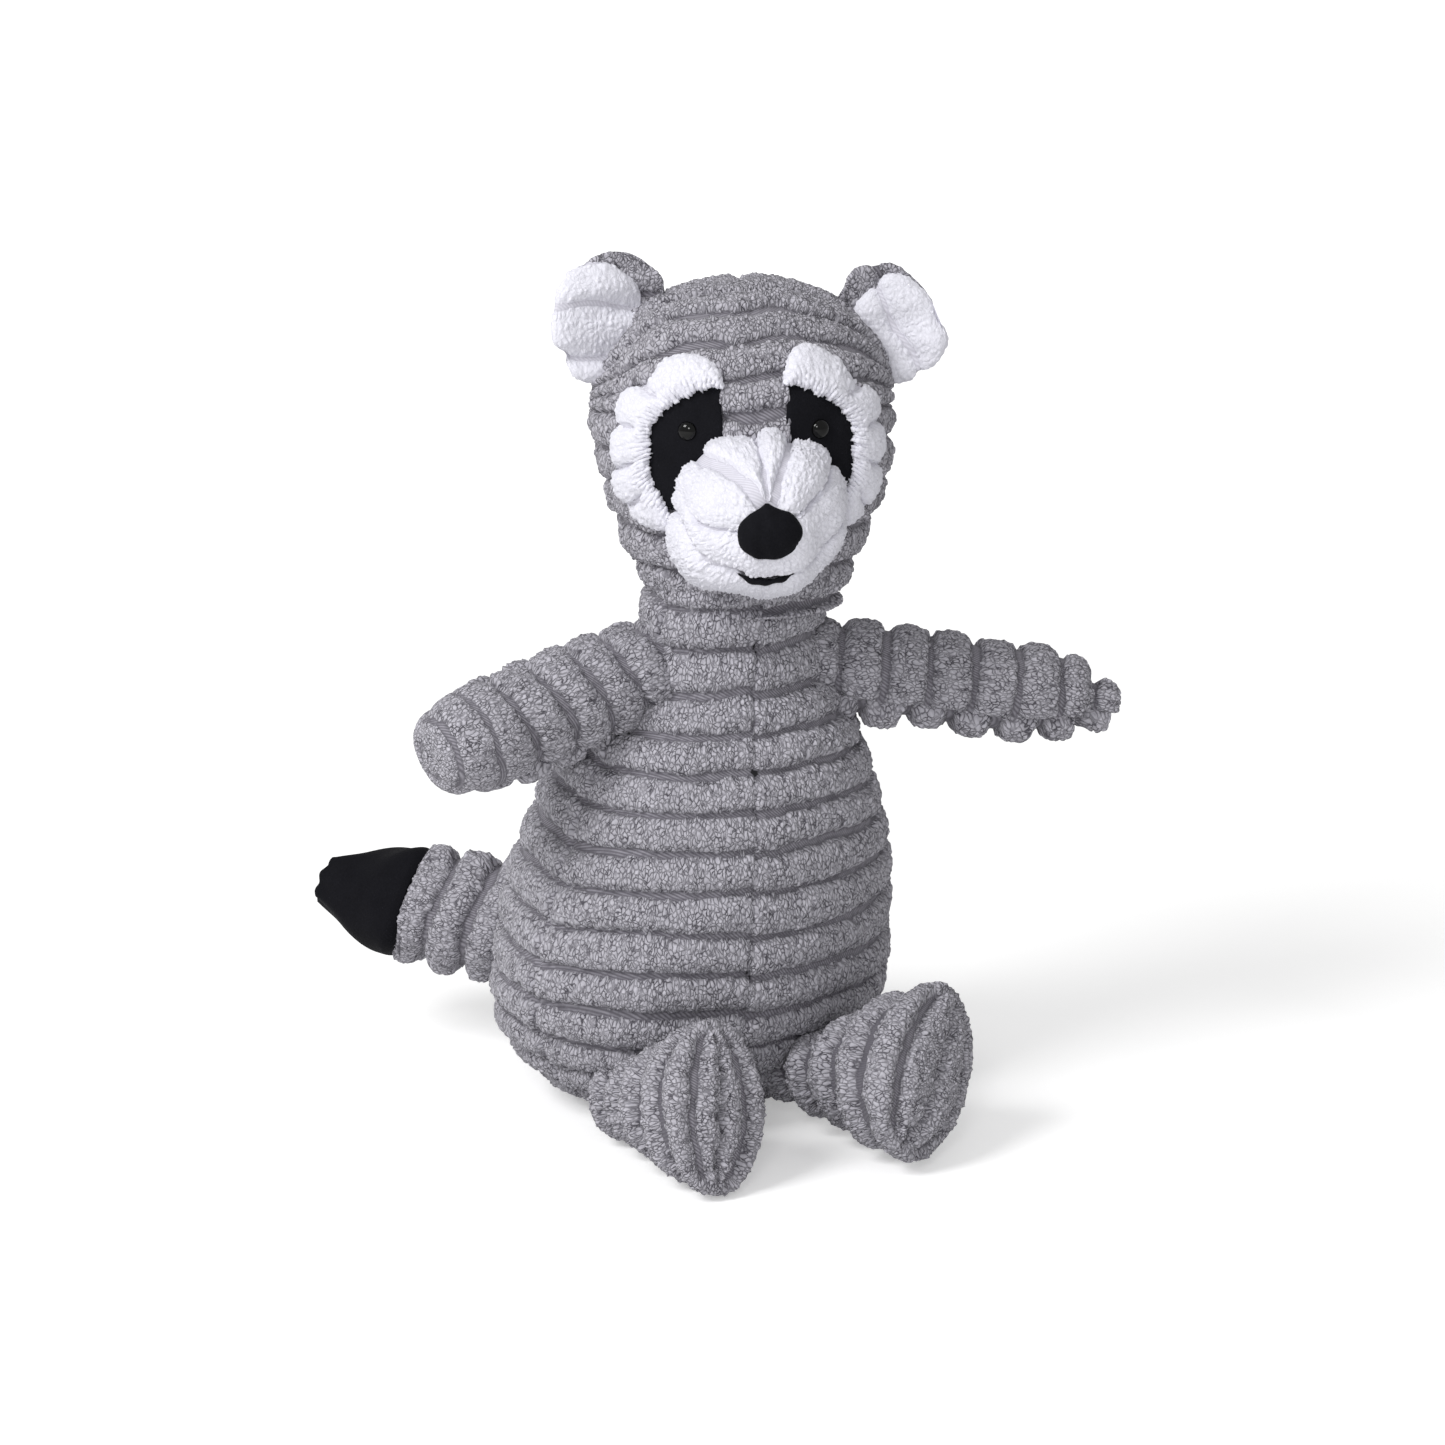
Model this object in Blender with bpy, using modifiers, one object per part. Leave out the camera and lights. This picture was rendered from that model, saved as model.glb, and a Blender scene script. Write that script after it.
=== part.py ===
"""A plush raccoon dog toy that sits upright, sewn from wide-wale ribbed plush.

Metres, +Z up. The toy faces -Y and its own left is +X. The origin is on the floor, under the
middle of the torso. Left and right in the names are the toy's own.
"""

from math import atan2, cos, hypot, radians, sin, sqrt

import bmesh
import bpy
import numpy as np
from mathutils import Matrix, Vector

# Cloth: woven backing with ribs of pile
CLOTH = 0.0022
RIB_PITCH = 0.0123
RIB_HEIGHT = 0.0028
RIB_SHOULDERS = (0.26, 0.74)
LEAST_ROW = 0.0010
GAP = 0.0003

# Torso: crown outline as (half width, share of the neck seam's height), floor to neck
NECK_SEAM_HEIGHT = 0.1570
TORSO_PROFILE = (
    (0.0170, 0.0000), (0.0300, 0.0140), (0.0425, 0.0510), (0.0522, 0.1146),
    (0.0577, 0.1847), (0.0600, 0.2675), (0.0597, 0.3567), (0.0580, 0.4395),
    (0.0550, 0.5223), (0.0508, 0.6178), (0.0458, 0.6943), (0.0393, 0.7739),
    (0.0322, 0.8471), (0.0278, 0.9236), (0.0270, 1.0318),
)
TORSO_OUTLINE = [(width, share * NECK_SEAM_HEIGHT) for width, share in TORSO_PROFILE]
TORSO_DEPTH = 0.86
TORSO_LEAN = (0.0090, -0.0236)
TORSO_STEPS = 18
BASE_SEAM_HEIGHT = 0.0060
TORSO_FIRST_GROOVE = 0.0290
SIDE_SEAM_ANGLE = 66.0

# Head: crown outline as (half width, height above the head's centre), neck to top
HEAD_OUTLINE = (
    (0.0265, -0.0500), (0.0278, -0.0450), (0.0325, -0.0360), (0.0368, -0.0270),
    (0.0412, -0.0150), (0.0437, 0.0000), (0.0424, 0.0150), (0.0372, 0.0275),
    (0.0280, 0.0375), (0.0150, 0.0433), (0.0000, 0.0448),
)
HEAD_DEPTH = 0.88
HEAD_CENTRE = (0.0112, -0.0238, NECK_SEAM_HEIGHT + 0.0460)
HEAD_TURN = -12.5
HEAD_STEPS = 16
HEAD_FIRST_GROOVE = 0.0075
FACE_REACH = 0.0800

# Face, in the head's own frame: outlines as (across, up) on the toy's left half
SURROUND_OUTLINE = (
    (0.0100, 0.0195), (0.0083, 0.0213), (0.0128, 0.0280), (0.0175, 0.0288), (0.0230, 0.0268),
    (0.0285, 0.0222), (0.0345, 0.0165), (0.0365, 0.0090), (0.0375, 0.0020), (0.0370, -0.0080),
    (0.0352, -0.0135), (0.0320, -0.0185), (0.0230, -0.0215), (0.0130, -0.0165), (0.0170, 0.0000),
)
PATCH_OUTLINE = (
    (0.0085, 0.0208), (0.0140, 0.0203), (0.0200, 0.0180), (0.0245, 0.0150), (0.0277, 0.0110),
    (0.0293, 0.0060), (0.0296, 0.0000), (0.0288, -0.0065), (0.0260, -0.0110), (0.0225, -0.0145),
    (0.0150, -0.0120), (0.0090, 0.0000), (0.0088, 0.0090), (0.0093, 0.0140),
)
PATCH_SINK = 0.0010
EYE_PLACE = (0.0184, 0.0080)
EYE_RADIUS = 0.0029
EYE_STAND = 0.0019

# Muzzle, chin, nose and mouth, in the head's own frame
MUZZLE_CENTRE = (0.0, -0.0330, -0.0145)
MUZZLE_RADII = (0.0250, 0.0270, 0.0232)
MUZZLE_LOBES = 12
MUZZLE_LOBE_HEIGHT = 0.0020
MUZZLE_LOBE_MIDDLE = 0.6
CHIN_DROP = 0.0150
NOSE_RADII = (0.0097, 0.0042, 0.0070)
NOSE_SINK = 0.0015
NOSE_PEAK = 0.14
MOUTH_WIDTH = 0.0205
MOUTH_CURVE = 0.0042
MOUTH_THICKNESS = 0.0019
MOUTH_BACK = 0.0440
MOUTH_HOLE_BACK = 0.0400

# Ears: flat cupped ovals, placed by their middle in the head's own frame
EAR_HALF_WIDTH = 0.0134
EAR_HALF_HEIGHT = 0.0178
EAR_FRONT_THICKNESS = 0.0042
EAR_BACK_THICKNESS = 0.0058
EAR_RIM = 0.0020
EAR_CUP = 14.0
EAR_CUP_UPRIGHT = 0.4
EAR_NARROWING = 0.12
EAR_LEFT_PLACE = (0.0425, 0.0010, 0.0300)
EAR_RIGHT_PLACE = (-0.0378, 0.0010, 0.0325)
EAR_TILT = 10.0
EAR_TURN = 8.0
EAR_LOBES = 7
EAR_LOBE_HEIGHT = 0.0008

# Arms: outline as (distance from the tip, half height), tip to shoulder
ARM_OUTLINE = (
    (0.0000, 0.0000), (0.0012, 0.0066), (0.0050, 0.0104), (0.0120, 0.0130), (0.0250, 0.0149),
    (0.0500, 0.0160), (0.0800, 0.0163), (0.1150, 0.0150),
)
ARM_THICKNESS = 0.92
ARM_STEPS = 12
ARM_FIRST_GROOVE = 0.0170
ARM_LEFT_TIP = (0.1202, -0.0440, NECK_SEAM_HEIGHT - 0.0375)
ARM_LEFT_AIM = (0.0097, -0.0160, NECK_SEAM_HEIGHT - 0.0230)
ARM_RIGHT_TIP = (-0.0920, -0.0450, NECK_SEAM_HEIGHT - 0.0355)
ARM_RIGHT_AIM = (0.0057, -0.0160, NECK_SEAM_HEIGHT - 0.0150)

# Legs: cross-sections as (distance from the sole, half width, half height)
LEG_SECTIONS = (
    (0.0000, 0.0145, 0.0255), (0.0110, 0.0175, 0.0250), (0.0230, 0.0175, 0.0220),
    (0.0400, 0.0150, 0.0180), (0.0650, 0.0134, 0.0156),
)
LEG_STEPS = 14
LEG_POINT = 0.16
LEG_LEFT_SOLE = (0.0497, -0.0855, 0.0276)
LEG_LEFT_AIM = (0.0180, -0.0340, 0.0200)
LEG_LEFT_ROLL = 44.0
LEG_RIGHT_SOLE = (-0.0179, -0.0890, 0.0255)
LEG_RIGHT_AIM = (-0.0318, -0.0340, 0.0275)
LEG_RIGHT_ROLL = 8.0
LEG_FIRST_RIB = (0.25, 0.65)
LEG_FIRST_GROOVE = 0.9
LEG_BACK = 0.0040
SOLE_THICKNESS = 0.0050
SOLE_FIT = 0.93

# Sole: rows of (share of the outline, share of the thickness), from its middle out and round
SOLE_ROWS = (
    (0.00, 0.00), (0.30, 0.08), (0.42, 0.42), (0.58, 0.42), (0.70, 0.08), (0.86, 0.00),
    (0.97, 0.35), (1.00, 0.70), (0.95, 1.00), (0.00, 1.00),
)

# Tail: outline as (distance from the end, half height), end to root
TAIL_OUTLINE = (
    (0.0000, 0.0000), (0.0003, 0.0068), (0.0060, 0.0104), (0.0140, 0.0152), (0.0230, 0.0176),
    (0.0600, 0.0182), (0.1150, 0.0175),
)
TAIL_END = (-0.0883, 0.0805, 0.0480)
TAIL_AIM = (-0.0083, 0.0260, 0.0400)
TAIL_TIP_LENGTH = 0.0280
TAIL_FIRST_GROOVE = 0.0375
TAIL_STEPS = 12
TAIL_SLANT = 0.22

# Squeaker: a hollow plastic puck with a reed plug below
SQUEAKER_RADIUS = 0.0170
SQUEAKER_HEIGHT = 0.0180
SQUEAKER_WALL = 0.0012
SQUEAKER_FLOOR = 0.0450
SQUEAKER_CORNER = 0.0036
SQUEAKER_STEPS = 12
REED_RADIUS = 0.0040
REED_END_RADIUS = 0.0032
REED_LENGTH = 0.0060
REED_FLANGE_RADIUS = 0.0056
REED_FLANGE_THICKNESS = 0.0010
REED_STEPS = 8

# Colours (red, green, blue)
GREY = (0.33, 0.32, 0.36)
WHITE = (0.86, 0.86, 0.90)
BLACK = (0.010, 0.010, 0.012)
FIBRE = (0.80, 0.80, 0.80)
PLASTIC = (0.75, 0.76, 0.78)

# Meshing
FAR = 0.4
SHARP_ANGLE = 50.0
WEDGE_LEVELS = 7
SMOOTH_ROWS = 10
ENVELOPE_ROWS = 28


def start_scene():
    for obj in list(bpy.data.objects):
        bpy.data.objects.remove(obj)
    parts = bpy.data.collections.new("plush_raccoon")
    cutters = bpy.data.collections.new("cutters")
    bpy.context.scene.collection.children.link(parts)
    bpy.context.scene.collection.children.link(cutters)
    return parts, cutters


PARTS, CUTTERS = start_scene()


def material(name, colour, roughness):
    made = bpy.data.materials.new(name)
    made.use_nodes = True
    shader = made.node_tree.nodes["Principled BSDF"]
    shader.inputs["Base Color"].default_value = (*colour, 1.0)
    shader.inputs["Roughness"].default_value = roughness
    shader.inputs["Metallic"].default_value = 0.0
    return made


GREY_PLUSH = material("grey_plush", GREY, 0.95)
WHITE_PLUSH = material("white_plush", WHITE, 0.95)
BLACK_PLUSH = material("black_plush", BLACK, 0.80)
FILL = material("fibre_fill", FIBRE, 1.0)
EYE_PLASTIC = material("eye_plastic", BLACK, 0.15)
SQUEAKER_PLASTIC = material("squeaker_plastic", PLASTIC, 0.35)


def part(name, mesh, finish):
    """A visible piece with its own mesh."""
    obj = bpy.data.objects.new(name, mesh)
    PARTS.objects.link(obj)
    obj.data.materials.clear()
    obj.data.materials.append(finish)
    return obj


def cutter(name, mesh):
    obj = bpy.data.objects.new(name, mesh)
    CUTTERS.objects.link(obj)
    obj.hide_render = True
    obj.display_type = "WIRE"
    return obj


def boolean(obj, operation, other):
    step = obj.modifiers.new(other.name, "BOOLEAN")
    step.operation = operation
    step.solver = "EXACT"
    step.object = other


def realised(obj):
    """The object's mesh with its modifiers applied. The object itself goes."""
    graph = bpy.context.evaluated_depsgraph_get()
    mesh = bpy.data.meshes.new_from_object(obj.evaluated_get(graph))
    mesh.name = obj.name
    bpy.data.objects.remove(obj)
    return mesh


def smooth_curve(points, steps=10):
    """Points of a Catmull-Rom curve through the given ones."""
    given = np.array(points, float)
    padded = np.vstack([2 * given[0] - given[1], given, 2 * given[-1] - given[-2]])
    found = []
    for a, b, c, d in zip(padded, padded[1:], padded[2:], padded[3:]):
        for t in np.arange(steps) / steps:
            found.append(
                0.5 * (2 * b + (c - a) * t + (2 * a - 5 * b + 4 * c - d) * t**2
                       + (3 * b - a - 3 * c + d) * t**3)
            )
    found.append(given[-1])
    return np.array(found)


def along(outline, distances, insets):
    """Points of (radius, height) at distances along an outline, each moved in by its own inset."""
    curve = smooth_curve(outline)
    steps = np.hypot(*np.diff(curve, axis=0).T)
    length = np.concatenate([[0.0], np.cumsum(steps)])
    slope = np.gradient(curve, axis=0)
    slope /= np.maximum(np.hypot(slope[:, 0], slope[:, 1]), 1e-9)[:, None]
    inward = np.column_stack([-slope[:, 1], slope[:, 0]])
    found = []
    for distance, inset in zip(distances, insets):
        at = min(max(distance, 0.0), length[-1])
        place = np.array([np.interp(at, length, curve[:, k]) for k in (0, 1)])
        turn = np.array([np.interp(at, length, inward[:, k]) for k in (0, 1)])
        radius, height = place + inset * turn
        found.append((max(radius, 0.0), height))
    return found


def outline_length(outline):
    return float(np.hypot(*np.diff(smooth_curve(outline), axis=0).T).sum())


def ribbed_rows(outline, start):
    """Rows of an outline with ribs: a woven groove, then the two shoulders of its rib, and so on.

    The ribs follow the outline's own length, so they keep their pitch where it turns in.
    """
    end = outline_length(outline)
    rows = [(at, 0.0) for at in np.linspace(0.0, start, 5)[1:-1]]
    groove = start
    while groove < end:
        rows += [(groove, RIB_HEIGHT), *((groove + at * RIB_PITCH, 0.0) for at in RIB_SHOULDERS)]
        groove += RIB_PITCH
    between = [row for row in rows if LEAST_ROW < row[0] < end - LEAST_ROW]
    rows = [(0.0, 0.0), *between, (end, 0.0)]
    return along(outline, *zip(*rows))


def smooth_rows(outline, inset, count=SMOOTH_ROWS):
    """Rows of an outline without its ribs, all moved in by the same inset."""
    distances = np.linspace(0.0, outline_length(outline), count)
    return along(outline, distances, [inset] * count)


def closed_rows(rows):
    """The rows with both ends brought in to the axis, so that the turned shape is a solid."""
    (first, low), (last, high) = rows[0], rows[-1]
    ends = [(0.0, low)] if first > 0 else []
    tops = [(0.0, high)] if last > 0 else []
    return ends + list(rows) + tops


def turned(name, profile, steps, loop=False):
    """The mesh of a profile of (radius, height) rows, bottom first, turned about Z."""
    mesh = bpy.data.meshes.new(name)
    shape = bmesh.new()
    rows = [shape.verts.new((radius, 0.0, height)) for radius, height in reversed(profile)]
    for above, below in zip(rows, rows[1:] + rows[:1] if loop else rows[1:]):
        shape.edges.new((above, below))
    shape.to_mesh(mesh)
    shape.free()
    obj = cutter(name, mesh)
    screw = obj.modifiers.new("turn", "SCREW")
    screw.axis = "Z"
    screw.steps = steps
    screw.render_steps = steps
    screw.use_merge_vertices = True
    screw.merge_threshold = 0.00001
    return recalculated(realised(obj))


def reshape(mesh, move):
    for vertex in mesh.vertices:
        vertex.co = move(vertex.co)
    return mesh


def recalculated(mesh):
    """The closed mesh with its doubles merged and its faces pointing outwards."""
    shape = bmesh.new()
    shape.from_mesh(mesh)
    bmesh.ops.remove_doubles(shape, verts=shape.verts, dist=0.000001)
    bmesh.ops.recalc_face_normals(shape, faces=shape.faces)
    shape.to_mesh(mesh)
    shape.free()
    return mesh


def prism(name, outline, low, high):
    """A flat outline of (x, y) points, extruded from low to high along Z."""
    curve = bpy.data.curves.new(name, "CURVE")
    curve.dimensions = "2D"
    curve.fill_mode = "BOTH"
    curve.extrude = (high - low) / 2
    spline = curve.splines.new("POLY")
    spline.points.add(len(outline) - 1)
    for point, (x, y) in zip(spline.points, outline):
        point.co = (x, y, 0.0, 1.0)
    spline.use_cyclic_u = True
    obj = bpy.data.objects.new(name, curve)
    CUTTERS.objects.link(obj)
    mesh = recalculated(realised(obj))
    mesh.transform(Matrix.Translation((0.0, 0.0, (low + high) / 2)))
    return mesh


def widened(outline, by):
    """A closed outline whose edges all move outwards by the same amount."""
    points = [Vector(point) for point in outline]
    area = sum(a.cross(b) for a, b in zip(points, points[1:] + points[:1]))
    side = 1.0 if area > 0 else -1.0
    moved = []
    for before, here, after in zip(points[-1:] + points[:-1], points, points[1:] + points[:1]):
        into = (here - before).normalized()
        out = (after - here).normalized()
        normal = Vector((into.y + out.y, -into.x - out.x)).normalized() * side
        reach = max(0.5, normal.dot(Vector((into.y, -into.x)) * side))
        moved.append(here + normal * by / reach)
    return [tuple(point) for point in moved]


# Torso

LINING = RIB_HEIGHT + CLOTH


def lean(height):
    """Where the torso's middle lies at a height: it leans more and more to its left, and forward."""
    share = height / NECK_SEAM_HEIGHT
    return TORSO_LEAN[0] * share * abs(share), TORSO_LEAN[1] * share


def seat_torso(mesh, depth=TORSO_DEPTH):
    """The mesh narrowed front to back and leaned, with its rings still level."""

    def move(point):
        across, forward = lean(point.z)
        return Vector((point.x + across, point.y * depth + forward, point.z))

    return reshape(mesh, move)


def torso_envelope(by):
    """The torso's outside without its grooves, grown by a clearance, as a solid cutter."""
    rows = smooth_rows(TORSO_OUTLINE, -by, ENVELOPE_ROWS)
    return seat_torso(turned("torso_envelope", closed_rows(rows), TORSO_STEPS))


def wedge(start, end):
    """A tall wedge between two seam planes, each kept half a clearance back from its seam.

    Angles are in degrees from the front, towards the toy's left.
    """
    middle = radians((start + end) / 2)
    half = radians(abs(end - start) / 2)
    apex = GAP / 2 / sin(half)
    shift = Vector((sin(middle), -cos(middle))) * apex
    angles = [radians(start + (end - start) * step / 4) for step in range(5)]
    outline = [(0.0, 0.0), *((FAR * sin(angle), -FAR * cos(angle)) for angle in angles)]
    outline = [(x + shift.x, y + shift.y) for x, y in outline]
    low = BASE_SEAM_HEIGHT + GAP / 2
    high = NECK_SEAM_HEIGHT - GAP / 2
    mesh = prism("torso_wedge", outline, low, high)
    shape = bmesh.new()
    shape.from_mesh(mesh)
    for height in np.linspace(low, high, WEDGE_LEVELS)[1:-1]:
        bmesh.ops.bisect_plane(shape, geom=shape.verts[:] + shape.edges[:] + shape.faces[:],
                               dist=0.000001, plane_co=(0, 0, height), plane_no=(0, 0, 1))
    shape.to_mesh(mesh)
    shape.free()
    return seat_torso(mesh, depth=1.0)


def torso():
    """Four ribbed panels and the seat panel, cut from one cover along its seams."""
    outside = ribbed_rows(TORSO_OUTLINE, TORSO_FIRST_GROOVE)
    inside = smooth_rows(TORSO_OUTLINE, LINING)
    cover = seat_torso(turned("torso_cover", outside + inside[::-1], TORSO_STEPS, loop=True))
    panels = {
        "torso_front_left": (0.0, SIDE_SEAM_ANGLE),
        "torso_back_left": (SIDE_SEAM_ANGLE, 180.0),
        "torso_back_right": (180.0, 360.0 - SIDE_SEAM_ANGLE),
        "torso_front_right": (360.0 - SIDE_SEAM_ANGLE, 360.0),
    }
    for name, (start, end) in panels.items():
        panel = part(name, cover.copy(), GREY_PLUSH)
        boolean(panel, "INTERSECT", cutter(name + "_wedge", wedge(start, end)))
    bottom = [(0.0, 0.0), *outside, *inside[::-1], (0.0, inside[0][1])]
    base = part("torso_base", seat_torso(turned("torso_base", bottom, TORSO_STEPS)), GREY_PLUSH)
    below = prism("below_base_seam", square(FAR), -FAR, BASE_SEAM_HEIGHT - GAP / 2)
    boolean(base, "INTERSECT", cutter("below_base_seam", below))


def square(size):
    return [(-size, -size), (size, -size), (size, size), (-size, size)]


def torso_stuffing():
    """Fibre fill up to the lining, with the pocket through which the squeaker is pushed in."""
    rows = smooth_rows(TORSO_OUTLINE, LINING + GAP)
    mesh = seat_torso(turned("torso_stuffing", closed_rows(rows), TORSO_STEPS))
    fill = part("torso_stuffing", mesh, FILL)
    below_neck = prism("below_neck_seam", square(FAR), -FAR, NECK_SEAM_HEIGHT - GAP)
    boolean(fill, "INTERSECT", cutter("below_neck_seam", below_neck))
    radius = SQUEAKER_RADIUS + GAP
    top = SQUEAKER_FLOOR + SQUEAKER_HEIGHT + GAP
    pocket = turned("squeaker_pocket", [(0.0, -FAR), (radius, -FAR), (radius, top), (0.0, top)],
                    SQUEAKER_STEPS)
    pocket.transform(squeaker_place())
    boolean(fill, "DIFFERENCE", cutter("squeaker_pocket", pocket))


def squeaker_place():
    across, forward = lean(SQUEAKER_FLOOR + SQUEAKER_HEIGHT / 2)
    return Matrix.Translation((across, forward, 0.0))


def squeaker():
    """The squeaker in the middle of the fill: a hollow puck, with its reed plug in its floor."""
    place = squeaker_place() @ Matrix.Translation((0.0, 0.0, SQUEAKER_FLOOR))
    bore = REED_RADIUS + GAP
    corner = SQUEAKER_CORNER
    outer = [(bore, 0.0), (SQUEAKER_RADIUS - corner, 0.0), (SQUEAKER_RADIUS, corner),
             (SQUEAKER_RADIUS, SQUEAKER_HEIGHT - corner),
             (SQUEAKER_RADIUS - corner, SQUEAKER_HEIGHT), (0.0, SQUEAKER_HEIGHT)]
    wall = SQUEAKER_WALL
    inner = [(bore, wall), (SQUEAKER_RADIUS - corner, wall), (SQUEAKER_RADIUS - wall, corner),
             (SQUEAKER_RADIUS - wall, SQUEAKER_HEIGHT - corner),
             (SQUEAKER_RADIUS - corner, SQUEAKER_HEIGHT - wall), (0.0, SQUEAKER_HEIGHT - wall)]
    mesh = turned("squeaker_body", outer[::-1] + inner, SQUEAKER_STEPS)
    mesh.transform(place)
    part("squeaker_body", mesh, SQUEAKER_PLASTIC)
    low = -REED_FLANGE_THICKNESS - GAP
    plug = [(0.0, low), (REED_FLANGE_RADIUS, low), (REED_FLANGE_RADIUS, -GAP),
            (REED_RADIUS, -GAP), (REED_END_RADIUS, REED_LENGTH), (0.0, REED_LENGTH)]
    mesh = turned("squeaker_reed", plug, REED_STEPS)
    mesh.transform(place)
    part("squeaker_reed", mesh, SQUEAKER_PLASTIC)


# Head

HEAD_PLACE = Matrix.Translation(HEAD_CENTRE) @ Matrix.Rotation(radians(HEAD_TURN), 4, "Z")


def seat_head(mesh):
    mesh.transform(Matrix.Diagonal((1.0, HEAD_DEPTH, 1.0, 1.0)))
    mesh.transform(HEAD_PLACE)
    return mesh


def face_prism(name, outline, side, depth=0.0):
    """An outline of (across, up) points on the face, cut straight back to the given depth."""
    mesh = prism(name, [(x * side, z) for x, z in outline], -FACE_REACH, depth)
    mesh.transform(HEAD_PLACE @ Matrix.Rotation(radians(90), 4, "X") @ Matrix.Diagonal((1, 1, -1, 1)))
    return cutter(name, recalculated(mesh))


def head_envelope(by):
    """The head's outside without its grooves, grown by a clearance, as a solid cutter."""
    rows = smooth_rows(HEAD_OUTLINE, -by, ENVELOPE_ROWS)
    return seat_head(turned("head_envelope", closed_rows(rows), HEAD_STEPS))


def lined_head(name, outside, inside):
    return seat_head(turned(name, inside[::-1] + outside, HEAD_STEPS))


def head_panels():
    """The head's two grey panels, and the white and black panels let into them round the eyes."""
    inside = smooth_rows(HEAD_OUTLINE, LINING)
    cover = lined_head("head_cover", ribbed_rows(HEAD_OUTLINE, HEAD_FIRST_GROOVE), inside)
    smooth = lined_head("patch_cover", smooth_rows(HEAD_OUTLINE, PATCH_SINK), inside)
    for side_name, side in (("left", 1.0), ("right", -1.0)):
        surround = face_prism(f"surround_{side_name}", SURROUND_OUTLINE, side)
        surround_hole = face_prism(f"surround_hole_{side_name}", widened(SURROUND_OUTLINE, GAP), side)
        patch = face_prism(f"patch_{side_name}", PATCH_OUTLINE, side)
        patch_hole = face_prism(f"patch_hole_{side_name}", widened(PATCH_OUTLINE, GAP), side)
        panel = part(f"head_{side_name}", cover.copy(), GREY_PLUSH)
        boolean(panel, "INTERSECT", head_half(side_name, side))
        boolean(panel, "DIFFERENCE", surround_hole)
        boolean(panel, "DIFFERENCE", patch_hole)
        white = part(f"eye_surround_{side_name}", cover.copy(), WHITE_PLUSH)
        boolean(white, "INTERSECT", surround)
        boolean(white, "DIFFERENCE", patch_hole)
        black = part(f"eye_patch_{side_name}", smooth.copy(), BLACK_PLUSH)
        boolean(black, "INTERSECT", patch)
        eye(side_name, side)


def head_half(side_name, side):
    """The space on one side of the head's middle seam, above the neck seam."""
    near = side * GAP / 2
    far = side * FAR
    outline = [(near, -FAR), (far, -FAR), (far, FAR), (near, FAR)]
    low = NECK_SEAM_HEIGHT + GAP / 2 - HEAD_CENTRE[2]
    mesh = prism("head_half", outline, low, FAR)
    mesh.transform(HEAD_PLACE)
    return cutter(f"head_half_{side_name}", mesh)


def face_depth(across, up, sink=0.0):
    """How far forward of the head's centre its smooth surface lies."""
    curve = smooth_curve(HEAD_OUTLINE)
    radius = float(np.interp(up, curve[:, 1], curve[:, 0])) - sink
    return HEAD_DEPTH * sqrt(max(radius**2 - across**2, 0.0))


def ball(name, radii, segments=16, rings=10):
    mesh = bpy.data.meshes.new(name)
    shape = bmesh.new()
    bmesh.ops.create_uvsphere(shape, u_segments=segments, v_segments=rings, radius=1.0)
    bmesh.ops.scale(shape, vec=radii, verts=shape.verts)
    shape.to_mesh(mesh)
    shape.free()
    return mesh


def eye(side_name, side):
    """A domed bead that sits on its black patch."""
    across, up = EYE_PLACE
    forward = face_depth(across, up, PATCH_SINK)
    facing = atan2(side * across, forward / HEAD_DEPTH**2)
    mesh = ball("eye", (EYE_RADIUS, EYE_STAND, EYE_RADIUS), 10, 6)
    mesh.transform(HEAD_PLACE @ Matrix.Translation((side * across, -forward, up))
                   @ Matrix.Rotation(facing, 4, "Z"))
    bead = part(f"eye_{side_name}", mesh, EYE_PLASTIC)
    rows = smooth_rows(HEAD_OUTLINE, PATCH_SINK - GAP)
    below = seat_head(turned("eye_seat", closed_rows(rows), HEAD_STEPS))
    boolean(bead, "DIFFERENCE", cutter(f"eye_seat_{side_name}", below))


def head_stuffing():
    """Fibre fill up to the lining, above the neck seam."""
    rows = smooth_rows(HEAD_OUTLINE, LINING + GAP)
    mesh = seat_head(turned("head_stuffing", closed_rows(rows), HEAD_STEPS))
    fill = part("head_stuffing", mesh, FILL)
    above_neck = prism("above_neck_seam", square(FAR), NECK_SEAM_HEIGHT + GAP, FAR)
    boolean(fill, "INTERSECT", cutter("above_neck_seam", above_neck))


def muzzle_mesh(by=0.0):
    """A dome whose ribs run out from the nose, with its pole towards the front."""
    mesh = ball("muzzle", (1.0, 1.0, 1.0), MUZZLE_LOBES * 2, 12)
    mesh.transform(Matrix.Rotation(radians(90), 4, "X"))

    def move(point):
        turn = atan2(point.z, point.x)
        spread = hypot(point.x, point.z)
        lobe = MUZZLE_LOBE_HEIGHT * spread * (abs(sin(turn * MUZZLE_LOBES / 2)) - MUZZLE_LOBE_MIDDLE)
        radii = [radius + by + lobe for radius in MUZZLE_RADII]
        return Vector((point.x * radii[0], point.y * radii[1], point.z * radii[2]))

    reshape(mesh, move)
    mesh.transform(HEAD_PLACE @ Matrix.Translation(MUZZLE_CENTRE))
    return recalculated(mesh)


def mouth_outline(by=0.0):
    """A crescent (across, up) that hangs from corner to corner under the nose."""
    top = MUZZLE_CENTRE[2] - CHIN_DROP + MOUTH_CURVE
    half = MOUTH_WIDTH / 2 + by
    upper = []
    lower = []
    for step in range(9):
        t = -1.0 + 2.0 * step / 8
        sag = top - MOUTH_CURVE * (1.0 - t * t)
        thick = MOUTH_THICKNESS / 2 * (1.0 - 0.8 * t * t) + by
        upper.append((half * t, sag + thick))
        lower.append((half * t, sag - thick))
    return upper + lower[::-1]


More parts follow.
